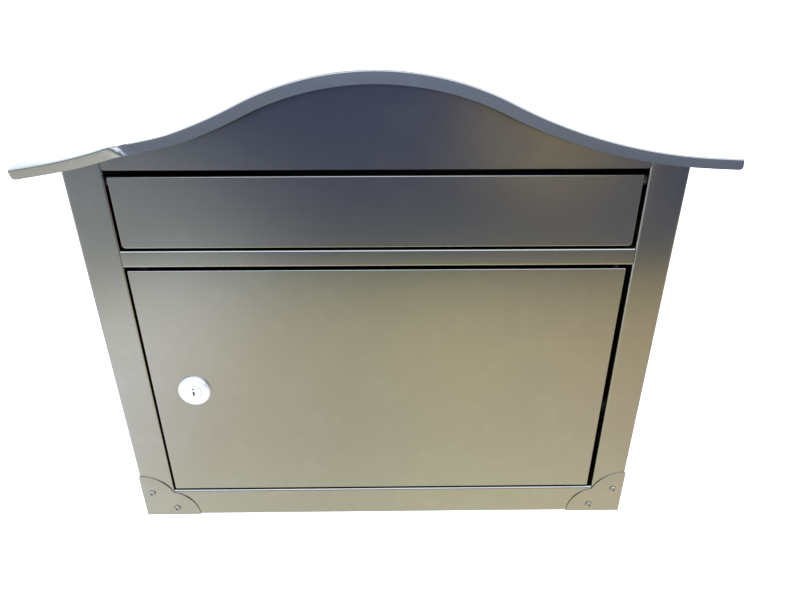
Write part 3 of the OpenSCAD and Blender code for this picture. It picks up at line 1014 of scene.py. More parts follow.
@dataclass
class Roof(SubAssembly):
    """The arched roof with its folded front lip and its dented corner."""

    side_overhang: float = 23 * MM
    front_overhang: float = 16 * MM
    lip_height: float = 6.5 * MM
    lip_crown_extra: float = 1.1 * MM
    lip_lean: float = 1.0 * MM
    lip_rows: int = 3
    lip_corner: float = 2.6 * MM
    fold_radius: float = 1.0 * MM
    dent_angle: float = math.radians(13)
    dent_reach: float = 45 * MM
    dent_slant: float = 5 * MM
    crease_width: float = 2.4 * MM
    bulge: float = 2.0 * MM
    bulge_inside: float = 14 * MM
    bulge_outside: float = 22 * MM
    bulge_back: float = 32 * MM
    crease_pull: float = 1.5 * MM
    crease_pull_width: float = 4.5 * MM
    crease_pull_back: float = 7 * MM
    crease_pull_start: float = 0.25
    crease_cuts: tuple[float, ...] = (-2.0, -1.4, -0.9, -0.4, 0.0, 0.25, 0.5, 0.75, 1.0, 1.5)
    crease_margin: float = 16 * MM
    cuts_back: float = 8 * MM
    dent_back: float = 30 * MM
    steps_across: int = 130
    steps_back: int = 54
    edge_round: float = 0.56 * MM

    @property
    def front(self) -> float:
        """Where the lip's foot lies."""
        return self.layout.front - self.front_overhang

    @property
    def edge(self) -> float:
        """Where the roof's skin turns down into the lip, before the fold is rounded."""
        return self.front + self.lip_lean

    @property
    def crease(self) -> tuple[Vector, Vector, Vector]:
        """The crease's two ends and the normal of its plane, which points out of the corner.

        Returns:
            The crease's start, its end and the plane's normal.
        """
        side = -self.layout.half_width
        start = Vector((side + self.dent_reach, self.front, 0))
        end = Vector((side, self.layout.front, 0))
        for point in (start, end):
            point.z = LINE.metres(point.x)
        across_lip = Vector((self.dent_slant, 0, -self.lip_height))
        return start, end, (end - start).cross(across_lip).normalized()

    def build(self) -> None:
        """Builds the roof."""
        half = self.layout.half_width + self.side_overhang
        depth = self.layout.back - self.edge

        def skin(u: float, v: float) -> Point:
            """The skin's point at two shares, across and back."""
            x = (2 * u - 1) * half
            return x, self.edge + v * depth, LINE.metres(x)

        roof = Bench.grid("arched_roof", self.steps_across, self.steps_back, skin)
        step = self.lip_height / self.lip_rows
        for row in range(self.lip_rows):
            Bench.extrude_edges(roof, lambda co: co.y < self.edge + TOUCH
                                and close(self._drop(co), row * step), (0, 0, -step))
        Bench.move_points(roof, self._on_lip)
        Bench.fold(roof, lambda co: co.y < self.edge + TOUCH and close(self._drop(co), 0),
                   self.fold_radius, 6)
        self._round_lip_ends(roof, half)
        self._cut_crease(roof)
        for change in (self._pulled, self._dented, self._bulged):
            Bench.move_points(roof, change)
        STEEL.thicken(roof, lambda centre, normal: normal.z > 0.3, self.edge_round)
        self.place(roof, Body.CASE, Slot.ROOF, "roof")

    @staticmethod
    def _drop(co: Vector) -> float:
        """How far a point lies plumb below the roof's skin."""
        return LINE.metres(co.x) - co.z

    def _on_lip(self, co: Vector) -> Vector:
        """Leans the lip forward towards its foot and sets its rows square to the roof's line.

        Args:
            co: a vertex's place.

        Returns:
            Its new place.
        """
        share = self._drop(co) / self.lip_height
        if co.y > self.edge + TOUCH or share < TOUCH:
            return co
        extra = self.lip_crown_extra * max(0.0, 1 - (co.x / self.layout.half_width) ** 2)
        depth = share * (self.lip_height + extra)
        return Vector((co.x, self.edge - share * self.lip_lean, LINE.metres(co.x, depth)))

    def _round_lip_ends(self, roof: bpy.types.Object, half: float) -> None:
        """Rounds the lip's two lower corners.

        Args:
            roof: the sheet.
            half: half its width.
        """
        with Bench.editing(roof, "VERT"):
            if Bench.pick_points(roof, lambda co: co.y < self.front + TOUCH
                                 and abs(co.x) > half - TOUCH):
                bpy.ops.mesh.bevel(offset=self.lip_corner, segments=5, affect="VERTICES")

    def _cut_crease(self, roof: bpy.types.Object) -> None:
        """Cuts the sheet finely along the crease, so that it can bend there.

        Args:
            roof: the sheet.
        """
        start, _, normal = self.crease
        for share in self.crease_cuts:
            place = start + normal * (share * self.crease_width)
            Bench.bisect(roof, tuple(place), tuple(normal),
                         near=lambda centre: centre.x < start.x + self.crease_margin
                         and centre.y < self.layout.front + self.cuts_back)

    def _pulled(self, co: Vector) -> Vector:
        """Draws the fold back just inside the crease, where the bend has pulled it.

        Args:
            co: a vertex's place.

        Returns:
            Its new place.
        """
        start, _, normal = self.crease
        inside = -(co - start).dot(normal)
        reach = self.crease_pull_back
        behind = co.y - self.front
        if not 0 <= inside < self.crease_pull_width or behind > reach \
                or co.x > start.x + self.crease_margin:
            return co
        along = min(1.0, inside / self.crease_pull_width + self.crease_pull_start)
        bell = math.sin(math.pi * along) ** 2
        depth = max(0.0, self._drop(co)) / self.lip_height
        share = (1 - min(1.0, depth)) * (1 - max(0.0, behind) / reach)
        return Vector((co.x, co.y + self.crease_pull * bell * share, co.z))

    def _dented(self, co: Vector) -> Vector:
        """Turns what lies outside the crease down about it, easing in over a short bend.

        Args:
            co: a vertex's place.

        Returns:
            Its new place.
        """
        start, end, normal = self.crease
        outside = (co - start).dot(normal)
        if outside <= 0 or co.x > start.x + self.crease_margin \
                or co.y > self.layout.front + self.dent_back:
            return co
        lean = self.lip_lean * max(0.0, self._drop(co)) / self.lip_height
        flat = Vector((co.x, max(co.y, self.front) + min(lean, co.y - self.front + lean), co.z))
        share = ease(min(1.0, outside / self.crease_width))
        turn = Matrix.Rotation(-self.dent_angle * share, 3, (end - start).normalized())
        straight = co.lerp(flat, share)
        return start + turn @ (straight - start)

    def _bulged(self, co: Vector) -> Vector:
        """Lifts the sheet about the crease, where the bend has pushed it up.

        Args:
            co: a vertex's place.

        Returns:
            Its new place.
        """
        start, _, normal = self.crease
        outside = (co - start).dot(normal)
        share = max(0.0, 1 - max(0.0, co.y - self.front) / self.bulge_back)
        if outside > 0:
            share *= max(0.0, 1 - outside / self.bulge_outside)
        else:
            share *= ease(max(0.0, 1 + outside / self.bulge_inside))
        return Vector((co.x, co.y, co.z + self.bulge * share))


@dataclass
class CaseShell(SubAssembly):
    """The two sides, the back and the floor pan."""

    flange: float = 14 * MM
    floor_flange: float = 12 * MM
    jamb_top: float = 5 * MM
    stop_width: float = 10 * MM
    corner_fold: float = 1.9 * MM
    jamb_fold: float = 0.9 * MM
    wide_jamb_fold: float = 2.2 * MM
    rail_top_fold: float = 1.9 * MM
    hole_radius: float = 3.5 * MM
    hole_places: tuple[tuple[float, float], ...] = tuple(
        (x * MM, z * MM) for x in (-130, 130) for z in (60, 230))
    drain_radius: float = 3 * MM
    stile_steps: int = 4
    back_steps: tuple[int, int] = (80, 6)
    flange_gap: float = 1 * MM
    drain_places: tuple[tuple[float, float], ...] = tuple(
        (x * MM, y * MM) for x in (-100, 100) for y in (-50, 50))

    def build(self) -> None:
        """Builds the four panels."""
        self.place(self._side(1, "right_side"), Body.CASE, Slot.CASE, "right_side_panel")
        self.place(self._side(-1, "left_side"), Body.CASE, Slot.CASE, "left_side_panel")
        self.place(self._back(), Body.CASE, Slot.CASE, "back_panel")
        self.place(self._floor(), Body.CASE, Slot.CASE, "floor_pan")

    def _side(self, hand: int, name: str) -> bpy.types.Object:
        """Folds one side: rear flange, wall, stile and return, and on the left the door stop.

        Args:
            hand: 1 for the right side and -1 for the left.
            name: the piece's name.

        Returns:
            The side.
        """
        lay = self.layout
        wall, rear = hand * lay.half_width, lay.back - STEEL.thickness
        mouth = hand * lay.opening
        inner = wall - hand * self.flange
        piece = Bench.sheet(name, [(inner, rear, 0), (wall, rear, 0), (wall, rear, lay.flap_high),
                                   (inner, rear, lay.flap_high)])

        def at(x: float, y: float) -> Test:
            """Gives a test for the upright line at x and y."""
            return lambda co: close(co.x, x) and close(co.y, y)

        Bench.extrude_edges(piece, at(wall, rear), (0, lay.front - rear, 0))
        step = (mouth - wall) / self.stile_steps
        for index in range(self.stile_steps):
            Bench.extrude_edges(piece, at(wall + index * step, lay.front), (step, 0, 0))
        depth = lay.jamb - lay.front
        stop = hand < 0
        Bench.extrude_edges(piece, at(mouth, lay.front),
                            (0, depth - (STEEL.thickness if stop else 0), 0))
        for z in (lay.door_low, lay.door_high):
            Bench.bisect(piece, (0, 0, z), (0, 0, 1))
        jamb_edge = lay.front + depth - STEEL.thickness
        if stop:
            Bench.extrude_edges(piece, lambda co: at(mouth, jamb_edge)(co)
                                and lay.door_low - TOUCH < co.z < lay.door_high + TOUCH,
                                (-hand * self.stop_width, 0, 0))
        self._trim_jamb(piece, mouth)
        Bench.move_points(piece, lambda co: self._to_roof(co, mouth))
        top = lay.under_roof(wall)
        inward = wall - hand * (self.flange - STEEL.thickness)
        Bench.extrude_edges(piece, lambda co: close(co.x, wall) and close(co.z, top),
                            (inward - wall, 0, lay.under_roof(inward) - top))
        Bench.fold(piece, at(wall, lay.front), self.corner_fold)
        Bench.fold(piece, at(mouth, lay.front), self.jamb_fold if stop else self.wide_jamb_fold)
        STEEL.thicken(piece, lambda centre, normal: hand * normal.x > 0.9 and close(centre.x, wall))
        return piece

    def _trim_jamb(self, piece: bpy.types.Object, mouth: float) -> None:
        """Takes away the return below the door opening, where the floor pan's rail stands.

        Args:
            piece: the side.
            mouth: where the opening's edge lies.
        """
        lay = self.layout
        with Bench.editing(piece, "FACE"):
            if Bench.pick_faces(piece, lambda c, n: close(c.x, mouth)
                                and c.y > lay.front + TOUCH and c.z < lay.door_low):
                bpy.ops.mesh.delete(type="FACE")

    def _to_roof(self, co: Vector, mouth: float) -> Vector:
        """Lifts the top edge to the roof's underside, and the return's top to just over the flap.

        Args:
            co: a vertex's place.
            mouth: where the opening's edge lies.

        Returns:
            Its new place.
        """
        lay = self.layout
        if not close(co.z, lay.flap_high):
            return co
        if close(co.x, mouth) and co.y > lay.front + TOUCH:
            return Vector((co.x, co.y, lay.flap_high + self.jamb_top))
        return Vector((co.x, co.y, lay.under_roof(co.x)))

    def _back(self) -> bpy.types.Object:
        """Cuts the arched back with its flange under the roof and its wall-screw holes.

        Returns:
            The back.
        """
        lay = self.layout
        half = lay.half_width

        def sheet(u: float, v: float) -> Point:
            """The sheet's point at two shares, across and up."""
            x = (2 * u - 1) * half
            return x, lay.back, v * lay.under_roof(x)

        piece = Bench.grid("arched_back", *self.back_steps, sheet)
        flange_x = half - self.flange - self.flange_gap
        Bench.extrude_edges(piece, lambda co: close(co.z, lay.under_roof(co.x))
                            and abs(co.x) < flange_x, (0, -self.flange, 0))
        STEEL.thicken(piece, lambda centre, normal: normal.y > 0.9 and centre.y > lay.back - TOUCH)
        Bench.drill(piece, self.hole_radius, [(x, lay.back, z) for x, z in self.hole_places], Axis.Y)
        Bench.smooth(piece)
        return piece

    def _floor(self) -> bpy.types.Object:
        """Folds the floor pan: floor, front rail with its return, and side and rear flanges.

        Returns:
            The floor pan.
        """
        lay = self.layout
        inner = lay.half_width - STEEL.thickness
        skin, rear = lay.front + STEEL.thickness, lay.back - STEEL.thickness
        mouth = lay.opening
        piece = Bench.sheet("floor_and_bottom_rail", [(-mouth, lay.front, 0), (mouth, lay.front, 0),
                                                      (mouth, rear, 0), (-mouth, rear, 0)])
        for y in (skin, lay.jamb, rear - 2 * STEEL.thickness):
            Bench.bisect(piece, (0, y, 0), (0, 1, 0))

        def front(co: Vector) -> bool:
            """Whether a point lies on the rail's face."""
            return co.y < lay.front + TOUCH

        Bench.extrude_edges(piece, front, (0, 0, lay.door_low))
        Bench.extrude_edges(piece, lambda co: front(co) and co.z > lay.door_low - TOUCH,
                            (0, lay.jamb - lay.front, 0))
        Bench.extrude_edges(piece, lambda co: co.y > rear - TOUCH and close(co.z, 0),
                            (0, 0, self.floor_flange))
        for hand in (-1, 1):
            edge = hand * mouth
            Bench.extrude_edges(piece, lambda co: close(co.x, edge) and close(co.z, 0)
                                and skin - TOUCH < co.y < rear + TOUCH, (hand * (inner - mouth), 0, 0))
            Bench.extrude_edges(piece, lambda co: close(co.x, hand * inner)
                                and lay.jamb - TOUCH < co.y < rear - STEEL.thickness,
                                (0, 0, self.floor_flange))
        Bench.fold(piece, lambda co: front(co) and close(co.z, 0), self.jamb_fold)
        Bench.fold(piece, lambda co: front(co) and co.z > lay.door_low - TOUCH, self.rail_top_fold, 6)
        STEEL.thicken(piece, lambda centre, normal: normal.z < -0.9 and close(centre.z, 0))
        Bench.drill(piece, self.drain_radius, [(x, y, 0) for x, y in self.drain_places], Axis.Z, 32)
        Bench.smooth(piece)
        return piece


@dataclass
class FrontFrame(SubAssembly):
    """The gable above the flap, the rail between the flap and the door, and the baffle behind."""

    hem_depth: float = 7 * MM
    hem_fold: float = 1.5 * MM
    hem_corner: float = 1.8 * MM
    hem_reach: float = 2.0 * MM
    gable_steps: tuple[int, int] = (72, 5)
    rail_top_fold: float = 1.5 * MM
    rail_foot_fold: float = 1.5 * MM
    baffle_lip: float = 9 * MM
    baffle_end: float = 10 * MM
    baffle_fold: float = 3 * MM
    baffle_end_gap: float = 0.4 * MM
    baffle_end_start: float = 2 * MM

    def build(self) -> None:
        """Builds all three."""
        self.place(self._gable(), Body.CASE, Slot.CASE, "gable_panel")
        self.place(self._rail(), Body.CASE, Slot.CASE, "mid_rail")
        self.place(self._baffle(), Body.CASE, Slot.CASE, "baffle_plate")

    def _gable(self) -> bpy.types.Object:
        """Folds the gable: face, hem below with round ends, and a flange under the roof.

        Returns:
            The gable.
        """
        lay = self.layout
        half, low = lay.opening, lay.flap_high

        def sheet(u: float, v: float) -> Point:
            """The sheet's point at two shares, across and up."""
            x = (2 * u - 1) * half
            return x, lay.front, low + v * (lay.under_roof(x) - low)

        piece = Bench.grid("gable_face", *self.gable_steps, sheet)
        with Bench.editing(piece, "VERT"):
            Bench.pick_points(piece, lambda co: abs(co.x) > half - TOUCH and co.z < low + TOUCH)
            bpy.ops.mesh.bevel(offset=self.hem_corner, segments=4, affect="VERTICES")
        Bench.extrude_edges(piece, lambda co: close(co.z, lay.under_roof(co.x)),
                            (0, lay.jamb - lay.front, 0))

        def hem(co: Vector) -> bool:
            """Whether a point lies on the face's lower edge."""
            return co.y < lay.front + TOUCH and co.z < low + self.hem_reach

        Bench.extrude_edges(piece, hem, (0, self.hem_depth, 0))
        Bench.fold(piece, hem, self.hem_fold)
        STEEL.thicken(piece, lambda centre, normal: normal.y < -0.9 and centre.y < lay.front + TOUCH)
        return piece

    def _rail(self) -> bpy.types.Object:
        """Folds the channel between the two openings.

        Returns:
            The rail.
        """
        lay = self.layout
        half, low, high = lay.opening, lay.door_high, lay.flap_low
        piece = Bench.sheet("middle_rail", [(-half, lay.front, low), (half, lay.front, low),
                                            (half, lay.front, high), (-half, lay.front, high)])
        for z in (low, high):
            Bench.extrude_edges(piece, lambda co: co.y < lay.front + TOUCH and close(co.z, z),
                                (0, lay.jamb - lay.front, 0))
        for z, radius in ((low, self.rail_foot_fold), (high, self.rail_top_fold)):
            Bench.fold(piece, lambda co: co.y < lay.front + TOUCH and close(co.z, z), radius)
        STEEL.thicken(piece, lambda centre, normal: normal.y < -0.9 and centre.y < lay.front + TOUCH)
        return piece

    def _baffle(self) -> bpy.types.Object:
        """Folds the sloping plate behind the flap.

        Returns:
            The baffle.
        """
        low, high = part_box("baffle_plate")
        bend = high.z - self.baffle_lip
        toe = low.z + self.baffle_end
        piece = Bench.sheet("baffle", [(low.x, low.y, high.z), (high.x, low.y, high.z),
                                       (high.x, low.y, bend), (low.x, low.y, bend)])
        Bench.extrude_edges(piece, lambda co: close(co.z, bend), (0, high.y - low.y, toe - bend))
        Bench.fold(piece, lambda co: close(co.z, bend) and co.y < low.y + TOUCH, self.baffle_fold)
        for x in (low.x, high.x):
            Bench.extrude_edges(piece, lambda co: close(co.x, x)
                                and co.y > low.y + self.baffle_end_start,
                                (0, 0, self.baffle_end_gap - self.baffle_end))
        STEEL.thicken(piece, lambda centre, normal: normal.z > 0.5)
        return piece


@dataclass
class CornerTrim(SubAssembly):
    """The scalloped plates on the lower corners and the blind rivets that hold them."""

    reach: float = 44.5 * MM
    height: float = 41 * MM
    thickness: float = 0.75 * MM
    plate_bevel: float = 0.3 * MM
    plate_sides: int = 160
    cusp_drop: float = 1.5 * MM
    rivet_places: tuple[tuple[float, float], ...] = ((192 * MM, 23.5 * MM), (174 * MM, 7 * MM))
    head_radius: float = 2.8 * MM
    head_height: float = 1.5 * MM
    head_round: float = 1.25 * MM
    head_sides: int = 28
    dimple_rim: float = 0.45 * MM
    dimple_depth: float = 1.1 * MM
    shank_radius: float = 1.6 * MM
    tail_steps: tuple[tuple[float, float], ...] = ((0.4 * MM, 1.5), (1.4 * MM, 0.8))

    def build(self) -> None:
        """Builds both plates and the four rivets."""
        right = self._plate()
        left = Bench.copy(right, "corner_plate_l", Matrix.Scale(-1, 4, (1, 0, 0)))
        rivets = Bench.join("blind_rivets", [self._rivet(hand * x, z) for hand in (-1, 1)
                                             for x, z in self.rivet_places])
        for piece, node in ((right, "corner_plate_right"), (left, "corner_plate_left"),
                            (rivets, "corner_rivets")):
            self.place(piece, Body.CASE, Slot.TRIM, node)

    def _plate(self) -> bpy.types.Object:
        """Cuts the right plate: two round ends that meet at the door opening's corner.

        Returns:
            The plate.
        """
        lay = self.layout
        stile = lay.half_width - lay.opening
        cusp = lay.door_low - self.cusp_drop
        stile_z = (self.height ** 2 - stile ** 2 - cusp ** 2) / (2 * (self.height - cusp))
        rail_x = (self.reach ** 2 - stile ** 2 - cusp ** 2) / (2 * (self.reach - stile))
        y = lay.front - self.thickness
        plate = Bench.round_bar("corner_plate_r", self.height - stile_z,
                                (lay.half_width, y, stile_z), self.thickness, Axis.Y,
                                self.plate_sides)
        rail = Bench.round_bar("rail_end", self.reach - rail_x, (lay.half_width - rail_x, y, 0),
                               self.thickness, Axis.Y, self.plate_sides)
        Bench.cut(plate, [rail], "UNION")
        Bench.bisect(plate, (lay.half_width, 0, 0), (1, 0, 0), clear_outer=True, fill=True)
        Bench.bisect(plate, (0, 0, 0), (0, 0, -1), clear_outer=True, fill=True)
        Bench.merge(plate)
        Bench.face_outwards(plate)
        Bench.modify(plate, "BEVEL", width=self.plate_bevel, segments=3, limit_method="ANGLE",
                     angle_limit=SHARP, use_clamp_overlap=True)
        Bench.smooth(plate)
        return plate

    def _rivet(self, x: float, z: float) -> bpy.types.Object:
        """Turns one rivet: a domed head with the mandrel's hole, and its upset tail.

        Args:
            x: where it stands across the front.
            z: how high it stands.

        Returns:
            The rivet.
        """
        face = self.layout.front - self.thickness
        length = self.thickness + STEEL.thickness
        front = face - self.head_height
        rivet = Bench.round_bar("rivet", self.head_radius, (x, front, z), self.head_height, Axis.Y,
                                self.head_sides)
        with Bench.editing(rivet, "EDGE"):
            Bench.pick_edges(rivet, lambda co: co.y < front + TOUCH)
            bpy.ops.mesh.bevel(offset=self.head_round, segments=6, affect="EDGES")
        with Bench.editing(rivet, "FACE"):
            Bench.pick_faces(rivet, lambda c, n: n.y < -0.99 and c.y < front + TOUCH)
            bpy.ops.mesh.inset(thickness=self.dimple_rim)
            Bench.draw_out(self.dimple_depth)
            Bench.pick_faces(rivet, lambda c, n: n.y > 0.99 and c.y > face - TOUCH)
            bpy.ops.mesh.inset(thickness=self.head_radius - self.shank_radius)
            Bench.draw_out(length)
            for step, spread in self.tail_steps:
                Bench.draw_out(step)
                bpy.ops.transform.resize(value=(spread, 1, spread), center_override=(x, 0, z))
        Bench.smooth(rivet)
        return rivet


@dataclass
class FoldedPan:
    """A tray folded from sheet: a face with flanges behind it, and eased corners."""

    name: str
    low: Vector
    high: Vector
    depth: float
    fold: float
    corner: float
    foot_corner: float

    def make(self) -> bpy.types.Object:
        """Folds the pan from a block without its back.

        Returns:
            The pan, without thickness, its outer side facing out.
        """
        back = self.low.y + self.depth
        pan = Bench.block(self.name, self.low, (self.high.x, back, self.high.z))
        with Bench.editing(pan, "FACE"):
            Bench.pick_faces(pan, lambda c, n: n.y > 0.9)
            bpy.ops.mesh.delete(type="FACE")
        for z, size in ((self.high.z, self.corner), (self.low.z, self.foot_corner)):
            for x in (self.low.x, self.high.x):
                Bench.fold(pan, lambda co: close(co.x, x) and close(co.z, z), size, 4)
        Bench.fold(pan, lambda co: co.y < self.low.y + TOUCH, self.fold, 4)
        return pan


@dataclass
class MailFlap(SubAssembly):
    """The push-in flap with its two stop tabs. Its rod and bushes are plain parts."""

    face_fold: float = 1.6 * MM
    top_corner: float = 0.8 * MM
    foot_corner: float = 2.5 * MM
    flange: float = 10 * MM
    left_tab: float = 9 * MM
    right_tab: float = 10 * MM
    tab_height: float = 12 * MM
    tab_lift: float = 3 * MM
    tab_bevel: float = 0.25 * MM
    web_overlap: float = 1 * MM

    def build(self) -> None:
        """Builds the flap."""
        low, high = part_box("flap_panel")
        left, right = low.x + self.left_tab, high.x - self.right_tab
        pan = FoldedPan("mail_flap", Vector((left, low.y, low.z)), Vector((right, low.y, high.z)),
                        self.flange, self.face_fold, self.top_corner, self.foot_corner).make()
        STEEL.thicken(pan, lambda centre, normal: normal.y < -0.9)
        Bench.cut(pan, [self._tab(low.x, left), self._tab(high.x, right)], "UNION")
        Bench.smooth(pan)
        self.place(pan, Body.FLAP, Slot.DOOR, "flap_panel")

    def _tab(self, tip: float, end: float) -> bpy.types.Object:
        """Cuts one stop tab with the web that joins it to the flap's end flange.

        Args:
            tip: where the tab ends.
            end: where the flap's end flange lies.

        Returns:
            The tab with its web.
        """
        low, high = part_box("flap_panel")
        inner = end + math.copysign(STEEL.thickness, -tip)
        foot = low.z + self.tab_lift
        top = foot + self.tab_height
        tab = Bench.block("stop_tab", (min(tip, inner), high.y - STEEL.thickness, foot),
                          (max(tip, inner), high.y, top))
        web = Bench.block("tab_web", (min(end, inner), low.y + self.flange - self.web_overlap, foot),
                          (max(end, inner), high.y, top))
        Bench.cut(tab, [web], "UNION")
        Bench.modify(tab, "BEVEL", width=self.tab_bevel, segments=2, limit_method="ANGLE")
        return tab


@dataclass
class CollectionDoor(SubAssembly):
    """The locked door."""

    flange: float = 10 * MM
    face_fold: float = 2.0 * MM
    corner: float = 0.7 * MM
    wider: float = 0.7 * MM
    barrel_hole: float = 9.6 * MM
    hole_sides: int = 64

    def build(self) -> None:
        """Builds the door."""
        low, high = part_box("door_panel")
        lock_low, lock_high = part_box("lock_plug")
        door = FoldedPan("door_face", low - Vector((self.wider, 0, 0)), high, self.flange,
                         self.face_fold, self.corner, self.corner).make()
        STEEL.thicken(door, lambda centre, normal: normal.y < -0.9)
        centre = (lock_low + lock_high) / 2
        Bench.drill(door, self.barrel_hole, [(centre.x, low.y, centre.z)], Axis.Y, self.hole_sides)
        Bench.smooth(door)
        self.place(door, Body.DOOR, Slot.DOOR, "door_panel")


@dataclass
class CamLock(SubAssembly):
    """The cam lock's face with its barrel, and its key plug. The rest of it is plain parts."""

    face_radius: float = 12 * MM
    face_height: float = 3 * MM
    barrel_radius: float = 9.5 * MM
    plug_radius: float = 6 * MM
    plug_gap: float = 0.08 * MM
    plug_bevel: float = 0.25 * MM
    face_round: float = 2.0 * MM
    sides: int = 96
    keyway_width: float = 1.2 * MM
    keyway_low: float = -2.9 * MM
    keyway_high: float = 0.8 * MM
    keyway_depth: float = 8 * MM
    pin_hole_radius: float = 0.65 * MM
    pin_hole_rise: float = 2.8 * MM
    ward_low: tuple[float, float] = (-0.2 * MM, -1.6 * MM)
    ward_high: tuple[float, float] = (1.0 * MM, -0.4 * MM)
    drive_half: float = 3.5 * MM
    overlap: float = 1 * MM

    def build(self) -> None:
        """Builds both pieces."""
        low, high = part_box("lock_barrel")
        centre = (low + high) / 2
        barrel = self._barrel(centre.x, centre.z, low.y, high.y)
        self.place(barrel, Body.DOOR, Slot.CHROME, "lock_barrel")
        self.place(self._plug(centre.x, centre.z, high.y), Body.ROTOR, Slot.PLUG, "lock_plug")

    def _barrel(self, x: float, z: float, front: float, back: float) -> bpy.types.Object:
        """Turns the face and the threaded barrel, bored for the plug.

        Args:
            x: its centre across the front.
            z: its centre's height.
            front: where its face lies.
            back: where its thread ends.

        Returns:
            The barrel.
        """
        seat = front + self.face_height
        barrel = Bench.round_bar("lock_face_and_barrel", self.face_radius, (x, front, z),
                                 self.face_height, Axis.Y, self.sides)
        with Bench.editing(barrel, "FACE"):
            Bench.pick_faces(barrel, lambda c, n: n.y > 0.99)
            bpy.ops.mesh.inset(thickness=self.face_radius - self.barrel_radius)
            Bench.draw_out(back - seat)
        with Bench.editing(barrel, "EDGE"):
            Bench.pick_edges(barrel, lambda co: co.y < front + TOUCH
                             and math.hypot(co.x - x, co.z - z) > self.face_radius - TOUCH)
            bpy.ops.mesh.bevel(offset=self.face_round, segments=8, affect="EDGES")
        bore = Bench.round_bar("plug_bore", self.plug_radius + self.plug_gap,
                               (x, front - self.overlap, z), back - front + 2 * self.overlap, Axis.Y,
                               self.sides)
        Bench.cut(barrel, [bore])
        Bench.smooth(barrel)
        return barrel

    def _plug(self, x: float, z: float, back: float) -> bpy.types.Object:
        """Turns the plug, with its keyway and its square drive.

        Args:
            x: its centre across the front.
            z: its centre's height.
            back: where the barrel ends.

        Returns:
            The plug.
        """
        low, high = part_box("lock_plug")
        plug = Bench.round_bar("key_plug", self.plug_radius, (x, low.y, z), back - low.y, Axis.Y,
                               self.sides)
        with Bench.editing(plug, "EDGE"):
            Bench.pick_edges(plug, lambda co: co.y < low.y + TOUCH)
            bpy.ops.mesh.bevel(offset=self.plug_bevel, segments=3, affect="EDGES")
        half, deep, out = self.keyway_width / 2, low.y + self.keyway_depth, low.y - self.overlap
        slot = Bench.block("keyway_cutter", (x - half, out, z + self.keyway_low),
                           (x + half, deep, z + self.keyway_high))
        ward = Bench.block("ward_cutter", (x + self.ward_low[0], out, z + self.ward_low[1]),
                           (x + self.ward_high[0], deep, z + self.ward_high[1]))
        pin_hole = Bench.round_bar("pin_hole_drill", self.pin_hole_radius,
                                   (x, out, z + self.pin_hole_rise), deep - out, Axis.Y, 16)
        side = self.drive_half
        drive = Bench.block("square_drive", (x - side, back - self.overlap, z - side),
                            (x + side, high.y, z + side))
        Bench.cut(plug, [slot, ward, pin_hole])
        Bench.cut(plug, [drive], "UNION")
        Bench.smooth(plug)
        return plug


@dataclass
class PlainParts(SubAssembly):
    """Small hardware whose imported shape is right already: it only takes its finish."""

    finishes: tuple[tuple[str, Slot], ...] = (
        ("flap_rod", Slot.ZINC), ("flap_rod_clips", Slot.ZINC), ("flap_bushes", Slot.NYLON),
        ("door_pivot_pins", Slot.ZINC), ("door_pivot_washer", Slot.NYLON),
        ("door_bumpers", Slot.RUBBER), ("lock_washer", Slot.ZINC), ("lock_nut", Slot.ZINC),
        ("lock_cam", Slot.ZINC), ("cam_screw", Slot.ZINC))
    near_black: tuple[str, ...] = ("door_pivot_pins",)

    def dress(self, nodes: dict[str, bpy.types.Object]) -> None:
        """Dresses each node.

        Args:
            nodes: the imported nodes, by name.
        """
        for name, slot in self.finishes:
            self.book.dress_node(nodes[name], slot, dark=name in self.near_black)
            log.info("%s: kept as packed, dressed as %s", name, slot.value)


# --------------------------------------------------------------------------------------------
# The studio
# --------------------------------------------------------------------------------------------


@dataclass(frozen=True)
class SkySide:
    """One side of the sky: its colours from straight down to straight up.

    Each stop is a height, as the sine of the angle above the horizon, and a colour.
    """

    stops: tuple[tuple[float, Point], ...]

    def lay(self, tree: Tree, height: bpy.types.NodeSocket) -> bpy.types.NodeSocket:
        """Lays the side's ramp and returns its colour."""
        return tree.ramp(tree.spread(height, -1.0, 1.0),
                         [((place + 1) / 2, colour) for place, colour in self.stops])


@dataclass(frozen=True)
class SkyPatch:
    """A soft-edged patch in front of the box, such as a window or a warm wall."""

    aim: Point
    reach: float
    edge: float
    colour: Point

    def lay(self, tree: Tree, direction: bpy.types.NodeSocket) -> bpy.types.NodeSocket:
        """Lays the patch and returns what it adds in each direction.

        Args:
            tree: the world's nodes.
            direction: the direction of each ray.

        Returns:
            The patch's colour, black outside it.
        """
        axis = Vector(self.aim).normalized()
        along = tree.node("ShaderNodeVectorMath", {0: direction, 1: tuple(axis)},
                          operation="DOT_PRODUCT").outputs["Value"]
        inner, outer = math.cos(self.reach - self.edge), math.cos(self.reach + self.edge)
        return tree.vector("SCALE", {0: self.colour,
                                     "Scale": tree.spread(along, outer, inner, smooth=True)})


@dataclass(frozen=True)
class SoftLamp:
    """A square soft lamp."""

    name: str
    place: Point
    aim: Point
    size: float
    power: float
    colour: Point

    def hang(self) -> None:
        """Hangs the lamp and points it at its aim."""
        data = bpy.data.lights.new(self.name, "AREA")
        data.shape, data.size, data.energy, data.color = "SQUARE", self.size, self.power, self.colour
        lamp = bpy.data.objects.new(self.name, data)
        lamp.location = self.place
        lamp.visible_camera = lamp.visible_glossy = False
        lamp.rotation_euler = (Vector(self.aim) - Vector(self.place)).to_track_quat("-Z", "Y").to_euler()
        bpy.context.scene.collection.objects.link(lamp)


